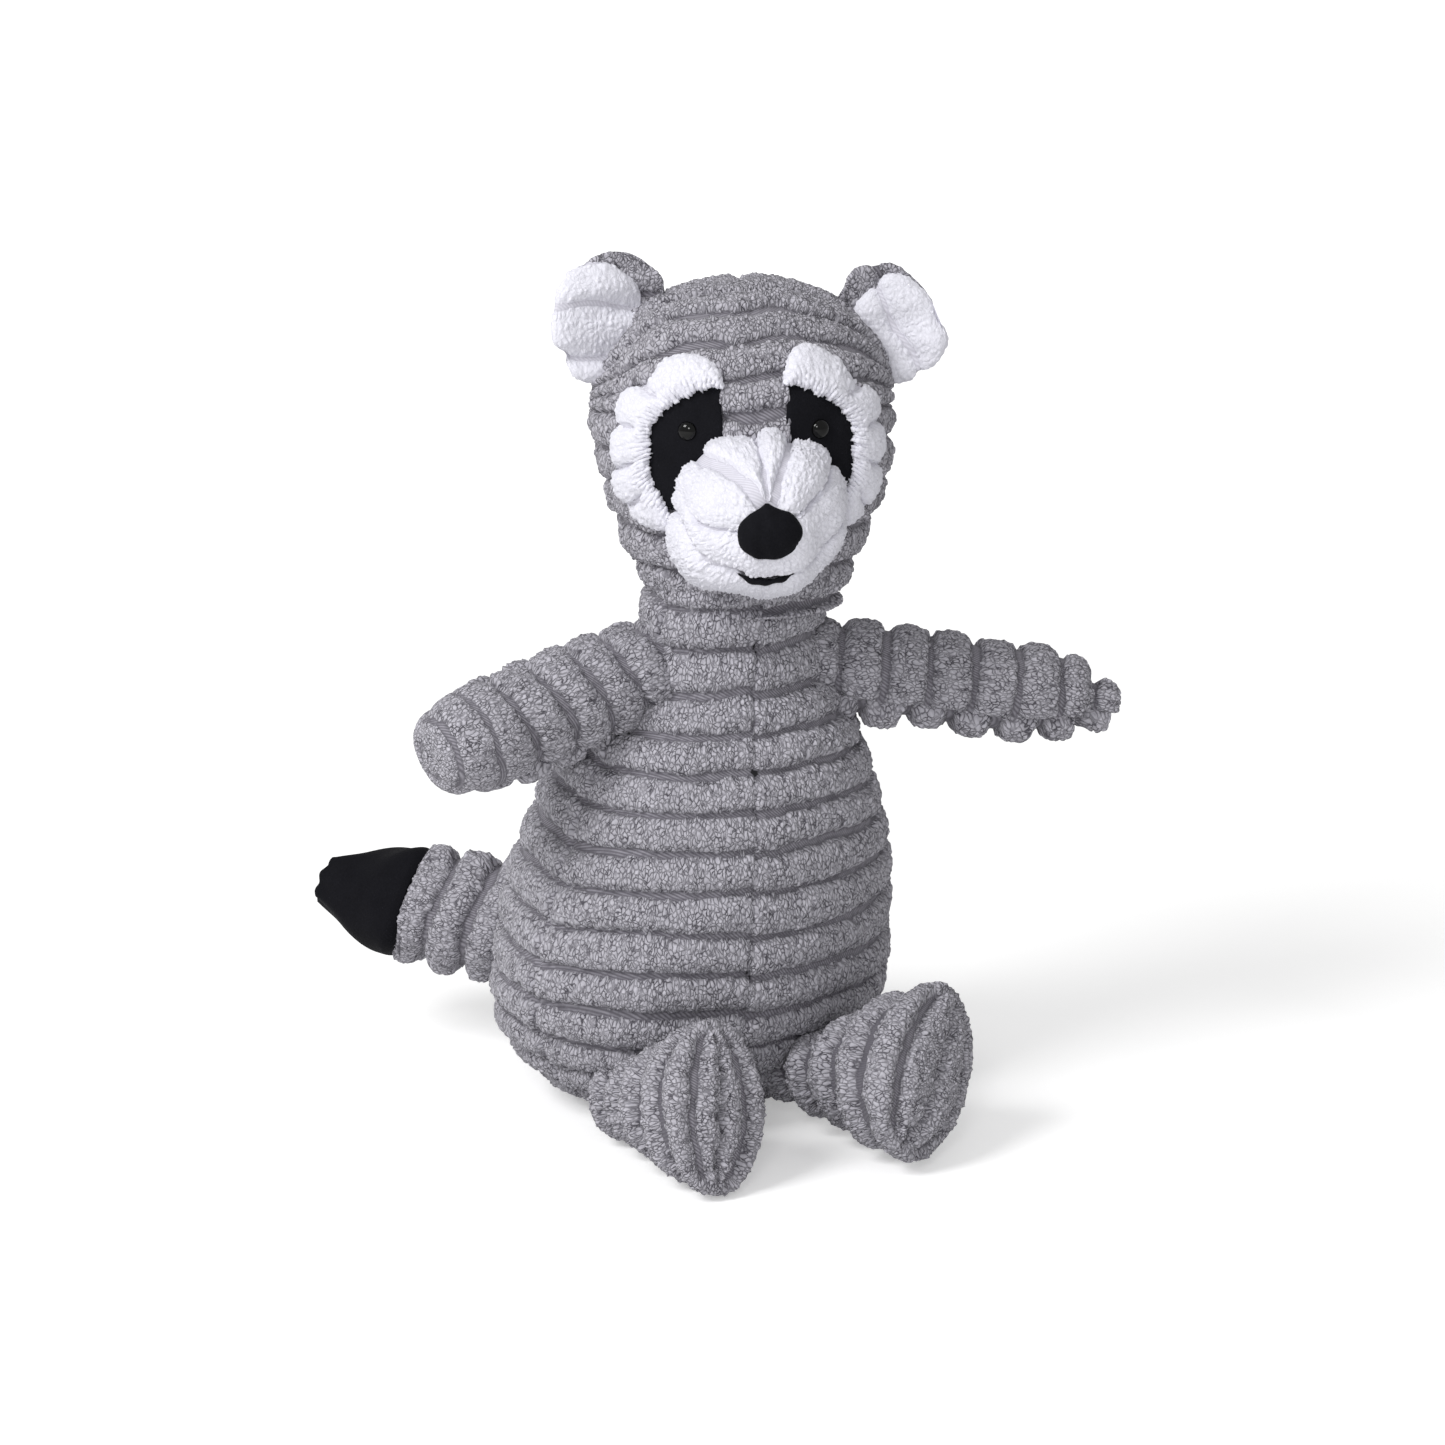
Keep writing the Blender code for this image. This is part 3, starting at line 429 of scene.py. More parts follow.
def jumble(cells, salt):
    """Repeatable random numbers for the cells of a grid in space."""
    mixed = cells[..., 0] * 73856093 ^ cells[..., 1] * 19349663 ^ cells[..., 2] * 83492791 ^ salt * 2654435
    mixed &= LARGEST_LOT
    for _ in range(2):
        mixed = ((mixed ^ (mixed >> 15)) * 1274126177) & LARGEST_LOT
    return mixed / LARGEST_LOT


def lots(steps, salt):
    """A random number for each whole step of a count."""
    return jumble(np.stack([np.floor(steps).astype(np.int64)] * 3, axis=-1), salt)


def strands(steps):
    """The profile of locks laid side by side: 1 on each lock's ridge and 0 between two locks."""
    return 1.0 - np.abs(steps % 1.0 - 0.5) * 2.0


def clumps(points, size):
    """How near each point is to the middle of its clump, and a random number for the clump."""
    scaled = points / size
    base = np.floor(scaled).astype(np.int64)
    nearest = np.full(points.shape[:-1], 9.0)
    second = nearest.copy()
    lot = np.zeros_like(nearest)
    for step in product((-1, 0, 1), repeat=3):
        cell = base + np.array(step)
        draws = [jumble(cell, salt) for salt in (1, 2, 3)]
        offset = cell + np.stack(draws, axis=-1) - scaled
        distance = np.sqrt((offset**2).sum(axis=-1))
        closer = distance < nearest
        second = np.where(closer, nearest, np.minimum(second, distance))
        lot = np.where(closer, draws[0], lot)
        nearest = np.where(closer, distance, nearest)
    return fade(second - nearest, 0.0, CLUMP_EDGE), lot


# %% [markdown]
# The relief of wide-wale plush. Across a groove the cloth is flat and low. At its side the pile stands up
# steeply, then rolls over into a broad crown. The clumps push the edge of the pile out and in, which is why
# no groove in the photograph has a clean border. On the body the ribs droop: each hangs a little over the
# groove below it, and slopes gently towards the groove above.

# %% Ribs of pile
RIB_PITCH = 0.0123
RIB_DEPTH = 0.0027
WOVEN_HALF = 0.0009
PILE_SIDE = 0.0010
CROWN = 0.0010
CLUMP = 0.00150
CLUMP_HEIGHT = 0.00062
RAGGED = 0.0009
DEEPEST = 0.0036
ROLL_SHARE = 0.30
WOVEN_FADE = (0.7, 1.5)
CLUMP_LEAST = 0.5
CLUMP_SPREAD = 0.8
CLUMP_SINK = 0.45
# Painted shade: how much light the unshaded attribute keeps at the foot of the pile and between clumps.
PILE_FOOT_UNSHADED = 0.35
CLUMP_GAP_UNSHADED = 0.3
EDGE = 0.00073
TORSO_EDGE = 1.2 * EDGE


class Wale:
    """How one cloth's ribs look: their depth and pitch, and which way their clumps are long."""

    def __init__(self, long_way=(0.0, 0.0, 1.0), squeeze=0.62, depth=RIB_DEPTH, pitch=RIB_PITCH, shag=1.0,
                 crown=CROWN):
        axis = np.array(long_way, float) / np.linalg.norm(long_way)
        self.lay = np.eye(3) - (1.0 - squeeze) * np.outer(axis, axis)
        self.depth = depth
        self.pitch = pitch
        self.shag = shag
        self.crown = crown

    def relief(self, off, points, woven=WOVEN_HALF):
        """How far the cloth stands off at a distance from a groove's middle, its pile and its painted shade.
        """
        middle, lot = clumps(points @ self.lay, CLUMP)
        off = np.clip(off + (lot - 0.5) * RAGGED * self.shag, 0.0, self.pitch / 2)
        edge = woven + PILE_SIDE
        rolled = np.clip((off - edge) / (self.pitch * ROLL_SHARE), 0.0, 1.0)
        height = (fade(off, woven, edge) - 1.0) * (self.depth - self.crown) - self.crown * (1.0 - rolled) ** 2
        pile = fade(off, woven * WOVEN_FADE[0], woven * WOVEN_FADE[1])
        lumps = CLUMP_HEIGHT * self.shag * (middle * (CLUMP_LEAST + CLUMP_SPREAD * lot) - CLUMP_SINK)
        # Painted shade at the foot of the pile and between clumps, carried by the unshaded attribute.
        foot_unshaded = PILE_FOOT_UNSHADED + (1.0 - PILE_FOOT_UNSHADED) * fade(np.abs(off - woven), 0.0, PILE_SIDE)
        return height + pile * lumps, pile, foot_unshaded * (1.0 - (1.0 - CLUMP_GAP_UNSHADED) * pile * (1.0 - middle))


def from_groove(distance, first, pitch=RIB_PITCH, droop=0.0):
    """The distance to the nearest groove, where grooves repeat from the first one on."""
    turn = (distance - first) / pitch
    past = turn - np.floor(turn)
    return np.minimum(past * (1.0 + droop), (1.0 - past) * (1.0 - droop)) * pitch


# %% [markdown]
# Now the sewing itself. A grid is the flat cloth. Its rows and columns are laid on the form, the relief
# lifts them off it along the form's own normals, and merging the doubled edge sews the tube shut.


# %% Wrapping cloth round a form
POLE = 1e-6
MERGED = 5e-7


def placed(local, turning):
    """Points of a part's own frame, placed in the world."""
    return local @ turning[:3, :3].T + turning[:3, 3]


def napped(height):
    """The relief of smooth cloth: its height, with full pile and no painted shade."""
    full = np.ones(height.shape)
    return height, full, full


def ball(u, v, radii):
    """A ball from its front pole to its back pole: its offsets across, forward and up."""
    turn = 2 * pi * u
    out = pi * v
    ring = np.sin(out)
    return radii[0] * ring * np.cos(turn), radii[1] * np.cos(out), radii[2] * ring * np.sin(turn)


def is_pole(ring):
    """Whether a ring of points has closed to one point."""
    return np.ptp(ring, axis=0).max() < POLE


def outward(form):
    """The form's normals, with the same normal at both sides of its seam and all round a pole."""
    body = form[:, :-1]
    across = np.roll(body, -1, axis=1) - np.roll(body, 1, axis=1)
    normal = np.cross(across, np.gradient(body, axis=0))
    for pole, beside in ((0, 1), (-1, -2)):
        if is_pole(body[pole]):
            normal[pole] = normal[beside].mean(axis=0)
    normal /= np.maximum(np.linalg.norm(normal, axis=-1, keepdims=True), 1e-15)
    if (normal * (body - body.mean(axis=(0, 1)))).sum() < 0:
        normal = -normal
    return np.concatenate([normal, normal[:, :1]], axis=1)


def sewn(name, columns, rows, place, relief, lay=None, gather=0.0, hasten=1.0):
    """A closed cloth tube. place gives the form for shares round and along, relief what stands on it.

    gather draws the columns together at the middle share, and hasten the rows towards the first one.
    """
    sheet = bmesh.new()
    bmesh.ops.create_grid(sheet, x_segments=columns, y_segments=rows, size=0.5)
    mesh = bpy.data.meshes.new(name)
    sheet.to_mesh(mesh)
    sheet.free()
    flat = np.empty(len(mesh.vertices) * 3)
    mesh.vertices.foreach_get("co", flat)
    column, row, _ = np.rint((flat.reshape(-1, 3) + 0.5) * (columns, rows, 1)).astype(int).T
    u, v = np.meshgrid(np.arange(columns + 1) / columns, (np.arange(rows + 1) / rows) ** hasten)
    u = u + gather / (2 * pi) * np.sin(2 * pi * u)
    form = place(u, v)
    height, pile, unshaded = relief(u, v, form)
    points = form + outward(form) * np.maximum(height, -DEEPEST)[..., None]
    points[:, -1] = points[:, 0]
    for end in (0, -1):
        if is_pole(form[end]):
            points[end] = points[end, :-1].mean(axis=0)
    points[..., 2] = np.maximum(points[..., 2], 0.0)
    mesh.vertices.foreach_set("co", points[row, column].ravel())
    for key, values in (("pile", pile), ("unshaded", unshaded)):
        mesh.attributes.new(key, "FLOAT", "POINT").data.foreach_set("value", values[row, column].ravel())
    cloth = (form if lay is None else form @ lay)[row, column]
    mesh.attributes.new("cloth", "FLOAT_VECTOR", "POINT").data.foreach_set("vector", cloth.ravel())
    seam = bmesh.new()
    seam.from_mesh(mesh)
    bmesh.ops.remove_doubles(seam, verts=seam.verts, dist=MERGED)
    bmesh.ops.recalc_face_normals(seam, faces=seam.faces)
    seam.to_mesh(mesh)
    seam.free()
    mesh.shade_smooth()
    return mesh


def dressed(mesh, slot, stands_for):
    """The finished piece: it rides on the toy, and stands for its plain CAD solids."""
    piece = bpy.data.objects.new(mesh.name, mesh)
    bpy.context.scene.collection.objects.link(piece)
    mesh.materials.append(FINISHES[slot])
    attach(piece, "root")
    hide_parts(*stands_for)
    print(piece.name, len(mesh.polygons), "faces")


def count(length, edge=EDGE):
    """How many steps of cloth go into a length."""
    return max(8, int(round(length / edge)))


# %% [markdown]
# The torso is a pear, leaning forward and a little to its left. It is made of two belly panels and two
# back panels, so seams run down its front and its sides. Where the front seam crosses a groove the stitches
# pull a small dimple, painted near black as its shadow, and behind the side seams the ribs climb towards the
# back.

# %% Torso
NECK_SEAM_HEIGHT = 0.1570
TORSO_PROFILE = (
    (0.0000, 0.0000), (0.0170, 0.0000), (0.0300, 0.0140), (0.0425, 0.0510), (0.0522, 0.1146),
    (0.0577, 0.1847), (0.0600, 0.2675), (0.0597, 0.3567), (0.0580, 0.4395), (0.0550, 0.5223),
    (0.0508, 0.6178), (0.0458, 0.6943), (0.0393, 0.7739), (0.0322, 0.8471), (0.0278, 0.9236),
    (0.0270, 1.0318), (0.0150, 1.0450), (0.0000, 1.0480),
)
TORSO_DEPTH = 0.86
TORSO_LEAN = (0.0090, -0.0236)
TORSO_FIRST_GROOVE = 0.0460
TORSO_SWAY = ((0.0007, 0.07, 5), (0.0004, 0.02, 6))
TORSO_SOFT = ((0.0010, 0.045, 12),)
DROOP = 0.12
RIB_SIDE = (0.001, 0.003)
SIDE_SEAM_ANGLE = 66.0
SIDE_SEAM_DEPTH = 0.0018
SIDE_SEAM_HALF = 0.0009
PUCKER_HEIGHT = 0.0004
PUCKER_REACH = 0.004
BACK_RISE = 0.0050
BACK_RISE_REACH = 0.018
FRONT_SEAM_HALF = 0.0006
KINK = 0.0007
KINK_REACH = 0.012
GROOVE_WAVER = 0.0004
STITCH_HALF = 0.0011
STITCH_DEPTH = 0.0008
PULLED_STITCHES = ((0.1257, 1.0), (0.1122, 1.4))
BODY_WALE = Wale()
torso_outline = Outline([(width, share * NECK_SEAM_HEIGHT) for width, share in TORSO_PROFILE])


def torso_form(u, v):
    angle = 2 * pi * (u - 0.5)
    radius, height = torso_outline.at(v * torso_outline.length)
    share = height / NECK_SEAM_HEIGHT
    return np.stack([radius * np.sin(angle) + TORSO_LEAN[0] * share * np.abs(share),
                     -radius * np.cos(angle) * TORSO_DEPTH + TORSO_LEAN[1] * share, height], axis=-1)


def torso_relief(u, v, points):
    distance = v * torso_outline.length
    radius, height = torso_outline.at(distance)
    angle = np.degrees(2 * pi * (u - 0.5))
    from_front = np.radians(angle) * radius
    behind = np.radians(np.abs(angle) - SIDE_SEAM_ANGLE) * radius
    climb = BACK_RISE * (1.0 - np.exp(-np.clip(behind, 0.0, None) / BACK_RISE_REACH))
    sway = wander(points, TORSO_SWAY)
    kink = KINK * np.sign(from_front) * spot(from_front / KINK_REACH)
    off = from_groove(distance - climb + sway + kink, TORSO_FIRST_GROOVE, droop=DROOP)
    off = off + GROOVE_WAVER * np.clip(drift(points, 0.035, 8), -1.0, 1.0)
    relief, pile, unshaded = BODY_WALE.relief(np.maximum(off, 0.0), points)
    on_rib = fade(off, *RIB_SIDE)
    front_seam = spot(from_front / FRONT_SEAM_HALF) * (0.0002 + 0.0006 * on_rib) * fade(height, 0.0, 0.02)
    side_seam = spot(behind / SIDE_SEAM_HALF) * SIDE_SEAM_DEPTH * (0.4 + on_rib)
    puckers = spot(behind / PUCKER_REACH) * PUCKER_HEIGHT * drift(points, 0.008, 9)
    soft = wander(points, TORSO_SOFT)
    fading = fade(distance, 0.010, 0.024)
    tight = np.clip(drift(points, 0.03, 14), 0, 1)
    stitches = spot(from_front / STITCH_HALF, off / 0.0012) * (0.25 + 0.75 * tight)
    for stitch_height, size in PULLED_STITCHES:
        from_stitch = ((from_front - 0.0002) / STITCH_HALF, (height - stitch_height) / 0.0010)
        stitches = stitches + size * spot(*from_stitch)
    relief = relief - front_seam - side_seam + puckers + soft - STITCH_DEPTH * np.minimum(stitches, 1.0)
    # The stitches lower the pile, which paints their dimples near black as shadow.
    return relief * fading, pile - 1.3 * stitches, unshaded


torso_mesh = sewn("torso_cloth", count(2 * pi * 0.050, TORSO_EDGE), count(torso_outline.length, TORSO_EDGE),
                  torso_form, torso_relief, BODY_WALE.lay, gather=0.35)
dressed(torso_mesh, "grey_plush",
        ["torso_front_left", "torso_front_right", "torso_back_left", "torso_back_right", "torso_base"])

# %% [markdown]
# The head is a rounder pear, turned a little to the toy's right. Everything on the face is placed in the
# head's own frame: the outlines of the white panels and of the eye patches lie in its X and Z, and the
# smooth surface says how far forward each point is.

# %% Head form
HEAD_OUTLINE = (
    (0.0000, -0.0490), (0.0265, -0.0485), (0.0278, -0.0450), (0.0325, -0.0360), (0.0368, -0.0270),
    (0.0412, -0.0150), (0.0437, 0.0000), (0.0424, 0.0150), (0.0372, 0.0275), (0.0280, 0.0375),
    (0.0150, 0.0433), (0.0000, 0.0448),
)
HEAD_DEPTH = 0.88
HEAD_CENTRE = (0.0112, -0.0238, NECK_SEAM_HEIGHT + 0.0460)
HEAD_TURN = -12.5
HEAD_FIRST_GROOVE = 0.0312
HEAD_PLACE = Matrix.Translation(HEAD_CENTRE) @ Matrix.Rotation(radians(HEAD_TURN), 4, "Z")
SURROUND_OUTER = (
    (0.0083, 0.0213), (0.0120, 0.0264), (0.0170, 0.0276), (0.0228, 0.0258), (0.0272, 0.0214),
    (0.0332, 0.0172), (0.0362, 0.0095), (0.0370, 0.0020), (0.0366, -0.0080), (0.0350, -0.0135),
    (0.0320, -0.0185), (0.0230, -0.0235),
)
PATCH_OUTER = (
    (0.0085, 0.0208), (0.0140, 0.0203), (0.0200, 0.0180), (0.0245, 0.0150), (0.0277, 0.0110),
    (0.0293, 0.0060), (0.0296, 0.0000), (0.0288, -0.0065), (0.0260, -0.0110), (0.0225, -0.0145),
)
PATCH_INNER = ((0.0150, -0.0120), (0.0090, 0.0000), (0.0088, 0.0090), (0.0093, 0.0140))
FACE_SHIFT = -0.0013
SIDES = (("left", 1), ("right", -1))
head_outline = Outline(HEAD_OUTLINE)
head_turning = np.array(HEAD_PLACE)


def on_head(x, y, z):
    """Points of the head's own frame, placed in the world."""
    return placed(np.stack(np.broadcast_arrays(x, y, z), axis=-1), head_turning)


def face_depth(x, z):
    """How far forward of the head's middle its smooth surface lies."""
    curve = head_outline.curve
    radius = np.interp(z, curve[:, 1], curve[:, 0])
    return HEAD_DEPTH * np.sqrt(np.clip(radius**2 - x**2, 0.0, None))


def inside(outline, x, z):
    """How far inside a closed outline each point is: negative outside."""
    corners = np.array(outline)
    nearest = np.full(np.shape(x), 9.0)
    within = np.zeros(np.shape(x), bool)
    for (ax, az), (bx, bz) in zip(corners, np.roll(corners, -1, axis=0)):
        edge = (bx - ax) ** 2 + (bz - az) ** 2
        share = np.clip(((x - ax) * (bx - ax) + (z - az) * (bz - az)) / edge, 0.0, 1.0)
        nearest = np.minimum(nearest, np.hypot(x - ax - share * (bx - ax), z - az - share * (bz - az)))
        within ^= ((az > z) != (bz > z)) & (x < (bx - ax) * (z - az) / (bz - az + 1e-12) + ax)
    return np.where(within, nearest, -nearest)


print("head outline, mm:", round(1000 * head_outline.length, 1))

# %% [markdown]
# White brows and cheeks, black eye patches and the muzzle are let into the head, so its grey cloth sinks
# away under them. Low down its ribs are level rings. Over the forehead they turn into segments, like those
# of an orange with its poles at the ears, and they wander, because the panels are eased round a ball: they
# climb to one side and pinch in at the seam.

# %% Head
FACE_SINK = 0.0045
SEGMENT_MIDDLE = 0.0030
SEGMENT_EASE = 0.8
HEAD_SWAY = ((0.0009, 0.05, 21), (0.0006, 0.017, 22))
HEAD_WAVER = ((0.0006, 0.03, 23),)
HEAD_SOFT = ((0.0012, 0.04, 24),)
FOREHEAD_HILLS = ((0.0021, -0.0060, 0.0075), (-0.0010, 0.0100, 0.0090))
FOREHEAD_SLOPE = 0.05
segment_part = head_outline.curve[:, 1] > SEGMENT_MIDDLE
segment_turns = np.arctan2(head_outline.curve[segment_part, 1] - SEGMENT_MIDDLE,
                           head_outline.curve[segment_part, 0] * HEAD_DEPTH)
segment_lengths = head_outline.at_length[segment_part]


def head_form(u, v):
    angle = 2 * pi * (u - 0.5)
    radius, height = head_outline.at(v * head_outline.length)
    return on_head(radius * np.sin(angle), -radius * np.cos(angle) * HEAD_DEPTH, height)


def head_relief(u, v, points):
    distance = v * head_outline.length
    radius, height = head_outline.at(distance)
    angle = 2 * pi * (u - 0.5)
    x = radius * np.sin(angle)
    front = fade(np.cos(angle), -0.1, 0.3)
    upper = fade(height, 0.004, 0.024)
    turn = np.arctan2(height - SEGMENT_MIDDLE, np.abs(radius * np.cos(angle)) * HEAD_DEPTH)
    segment = np.interp(turn, segment_turns, segment_lengths)
    distance = distance + upper * (segment - distance) * SEGMENT_EASE
    hills = sum(rise * spot((x - middle) / reach) for rise, middle, reach in FOREHEAD_HILLS)
    sway = wander(points, HEAD_SWAY) + upper * front * (hills - FOREHEAD_SLOPE * x)
    off = from_groove(distance + sway, HEAD_FIRST_GROOVE, droop=DROOP)
    off = np.maximum(off + wander(points, HEAD_WAVER), 0.0)
    relief, pile, unshaded = BODY_WALE.relief(off, points)
    seam = spot(x / 0.0008) * 0.0012 + spot(x / 0.0022) * 0.0008
    seam = seam * (1.0 - 0.8 * front)
    along = v * head_outline.length
    ends = fade(along, 0.026, 0.032) * fade(along, head_outline.length, head_outline.length - 0.006)
    relief = (relief - seam + wander(points, HEAD_SOFT)) * ends
    face = inside(SURROUND_OUTER + PATCH_INNER, np.abs(x - FACE_SHIFT), height)
    sunk = fade(face, 0.0006, 0.0030) * front
    return relief - FACE_SINK * sunk, pile, unshaded


head_mesh = sewn("head_cloth", count(2 * pi * 0.040), count(head_outline.length), head_form, head_relief,
                 BODY_WALE.lay, gather=0.35)
dressed(head_mesh, "grey_plush", ["head_left", "head_right"])

# %% [markdown]
# Brows and cheeks are one white C-shaped panel round the outside of each eye patch. Its ribs run level like
# those of the head, so its outer edge is scalloped: a lobe at each rib and a nick at each groove. It is a
# fat band swept from the brow to the cheek, with a rounded cross-section that dives under the grey cloth.
# Its inner edge ends in locks of uneven length, a white fringe over the black of the patch, and the toy's
# left brow has one longer tuft.

# %% Brows and cheeks
SURROUND_RISE = 0.0026
SURROUND_GROOVE = 0.0078
BROW_TUFT = 0.0032
BROW_TUFT_PLACE = (0.0135, 0.0260)
BROW_TUFT_SIZE = (0.0050, 0.0060)
LOCK_PITCH = 0.0011
LOCK_LENGTH = 0.0020
FACE_WALE = Wale(squeeze=0.8, depth=0.0024, shag=0.75)
surround_outer = Outline(SURROUND_OUTER)
patch_outer = Outline(PATCH_OUTER)


def surround_mesh(side_name, side):
    def place(u, v):
        round_it = 2 * pi * u
        spread = np.cos(round_it) * 0.5 + 0.5
        ends = np.clip(np.sqrt(np.clip(1.0 - (2.0 * v - 1.0) ** 6, 0.0, 1.0)), 0.0, 1.0)
        outer = np.stack(surround_outer.at(v * surround_outer.length), axis=-1)
        inner = np.stack(patch_outer.at(v * patch_outer.length), axis=-1)
        away = outer - inner
        away /= np.linalg.norm(away, axis=-1, keepdims=True)
        from_tuft = [(outer[..., k] - BROW_TUFT_PLACE[k]) / BROW_TUFT_SIZE[k] for k in (0, 1)]
        tufted = max(side, 0) * BROW_TUFT * spot(*from_tuft)
        outer = outer + away * (0.0004 + tufted[..., None])
        steps = v * patch_outer.length / LOCK_PITCH
        fringe = LOCK_LENGTH * strands(steps) * (0.35 + 0.65 * lots(steps, 7))
        inner = inner - away * (0.0002 + fringe)[..., None]
        spread = (0.5 + (spread - 0.5) * ends)[..., None]
        place_on_face = inner + (outer - inner) * spread
        x, z = side * place_on_face[..., 0] + FACE_SHIFT, place_on_face[..., 1]
        lift = np.sin(round_it) * SURROUND_RISE * ends
        depth = face_depth(x, z) + lift
        return on_head(x * (1.0 + lift / 0.08), -depth, z)

    def relief(u, v, points):
        outer = surround_outer.at(v * surround_outer.length)
        level = outer[1] + 0.0010 * drift(points, 0.02, 31 + side)
        off = from_groove(level, SURROUND_GROOVE)
        outer_share = 0.5 + 0.5 * np.cos(2 * pi * u)
        off = off + 0.0040 * fade(outer_share, 0.55, 0.10)
        shape, pile, unshaded = FACE_WALE.relief(off, points, woven=0.0003)
        return shape + 0.0004 + 0.0006 * outer_share, pile, unshaded

    return sewn(f"eye_surround_{side_name}_cloth", count(0.040), count(0.160), place, relief, FACE_WALE.lay)


for side_name, side in SIDES:
    dressed(surround_mesh(side_name, side), "white_plush", [f"eye_surround_{side_name}"])

# %% [markdown]
# An eye patch is a bean of short black plush, tight over the head and a little below the white pile round
# it. A flat pillow does it: rings run out from the middle to the rim and back underneath.

# %% Eye patches
PATCH_MIDDLE = (0.0190, 0.0030)
PATCH_SWELL = 0.0008
PATCH_UNDER = 0.0030
patch_rim = Outline([*PATCH_OUTER, *PATCH_INNER, PATCH_OUTER[0]])


def pillow_rings(v):
    """A share of the way out, and whether the ring is on the upper or the under side."""
    out = 1.0 - np.abs(2.0 * v - 1.0)
    return np.sin(out * pi / 2), v < 0.5


def patch_mesh(side_name, side):
    def place(u, v):
        out, upper = pillow_rings(v)
        rim_x, rim_z = patch_rim.at(u * patch_rim.length)
        x = side * (PATCH_MIDDLE[0] + (rim_x - PATCH_MIDDLE[0]) * out) + FACE_SHIFT
        z = PATCH_MIDDLE[1] + (rim_z - PATCH_MIDDLE[1]) * out
        dome = np.sqrt(np.clip(1.0 - out**4, 0.0, 1.0))
        lift = np.where(upper, PATCH_SWELL * dome, -PATCH_UNDER * dome) - 0.0010
        return on_head(x, -face_depth(x, z) - lift, z)

    def relief(u, v, points):
        return napped(0.0003 * drift(points, 0.012, 41))

    return sewn(f"eye_patch_{side_name}_cloth", count(patch_rim.length), count(0.034), place, relief)


for side_name, side in SIDES:
    dressed(patch_mesh(side_name, side), "black_plush", [f"eye_patch_{side_name}"])

# %% [markdown]
# The eyes are small domed beads. A sphere from create_uvsphere is pressed flat, and turned to face out of
# the head where it sits.

# %% Eyes
EYE_PLACE = (0.0184, 0.0080)
EYE_RADIUS = 0.0027
EYE_STAND = 0.0017


def bead(side_name, side):
    across = side * EYE_PLACE[0] + FACE_SHIFT
    up = EYE_PLACE[1]
    forward = float(face_depth(np.array(across), np.array(up)))
    facing = atan2(across, forward / HEAD_DEPTH**2)
    mesh = bpy.data.meshes.new(f"eye_{side_name}_bead")
    shape = bmesh.new()
    bmesh.ops.create_uvsphere(shape, u_segments=48, v_segments=24, radius=1.0)
    turn = (HEAD_PLACE @ Matrix.Translation((across, 0.0004 - forward, up))
            @ Matrix.Rotation(facing, 4, "Z") @ Matrix.Diagonal((EYE_RADIUS, EYE_STAND, EYE_RADIUS, 1.0)))
    bmesh.ops.transform(shape, matrix=turn, verts=shape.verts)
    bmesh.ops.recalc_face_normals(shape, faces=shape.faces)
    shape.to_mesh(mesh)
    shape.free()
    mesh.shade_smooth()
    return mesh


for side_name, side in SIDES:
    dressed(bead(side_name, side), "eye_plastic", [f"eye_{side_name}"])

# %% [markdown]
# The muzzle is a stuffed white dome. Its cloth is laid so that the ribs run out from the nose like petals,
# and below the nose they turn level and make the two lips. The creases between petals aren't quite straight:
# each has one direction near the nose and another at the rim, and some are wide enough to show the twill.
# The dome is a tube of cloth whose one pole is at the nose and whose other pole is inside the head. Its pile
# is combed outward: locks lie on it like shingles, each lifting towards its outer end.

# %% Muzzle
MUZZLE_CENTRE = (0.0, -0.0330, -0.0145)
MUZZLE_RADII = (0.0250, 0.0270, 0.0232)
CREASES = (
    {"near": 92.0, "far": 94.0, "open": -0.0004},
    {"near": 106.0, "far": 134.0, "open": 0.0010},
    {"near": 80.0, "far": 69.0, "open": 0.0003},
    {"near": 22.0, "far": 35.0, "open": -0.0003},
    {"near": 193.0, "far": 172.0, "open": -0.0001},
)
CREASE_NEAR = 15.0
CREASE_FAR = 75.0
MOUTH_CREASE = Outline(((0.0, -0.0167), (0.0040, -0.0159), (0.0073, -0.0139), (0.0110, -0.0126),
                        (0.0145, -0.0114), (0.0180, -0.0085), (0.0220, -0.0036), (0.0260, 0.0010)))
MUZZLE_WALE = Wale(squeeze=0.8, depth=0.0023, pitch=0.0140, shag=0.7)
STRANDS = 168
LOCK_HEIGHT = 0.0010
LOCK_SPAN = 15.0
MUZZLE_PLUMP = 0.0006
MUZZLE_HILLS = ((0.0030, 222.0, 26.0), (-0.0022, 175.0, 22.0))


def crease_level(x):
    """The height of the mouth's crease, at a distance from the middle of the face."""
    return np.interp(np.abs(x), MOUTH_CREASE.curve[:, 0], MOUTH_CREASE.curve[:, 1])


def muzzle_form(u, v):
    x, forward, z = ball(u, v, MUZZLE_RADII)
    return on_head(MUZZLE_CENTRE[0] + x, MUZZLE_CENTRE[1] - forward, MUZZLE_CENTRE[2] + z)


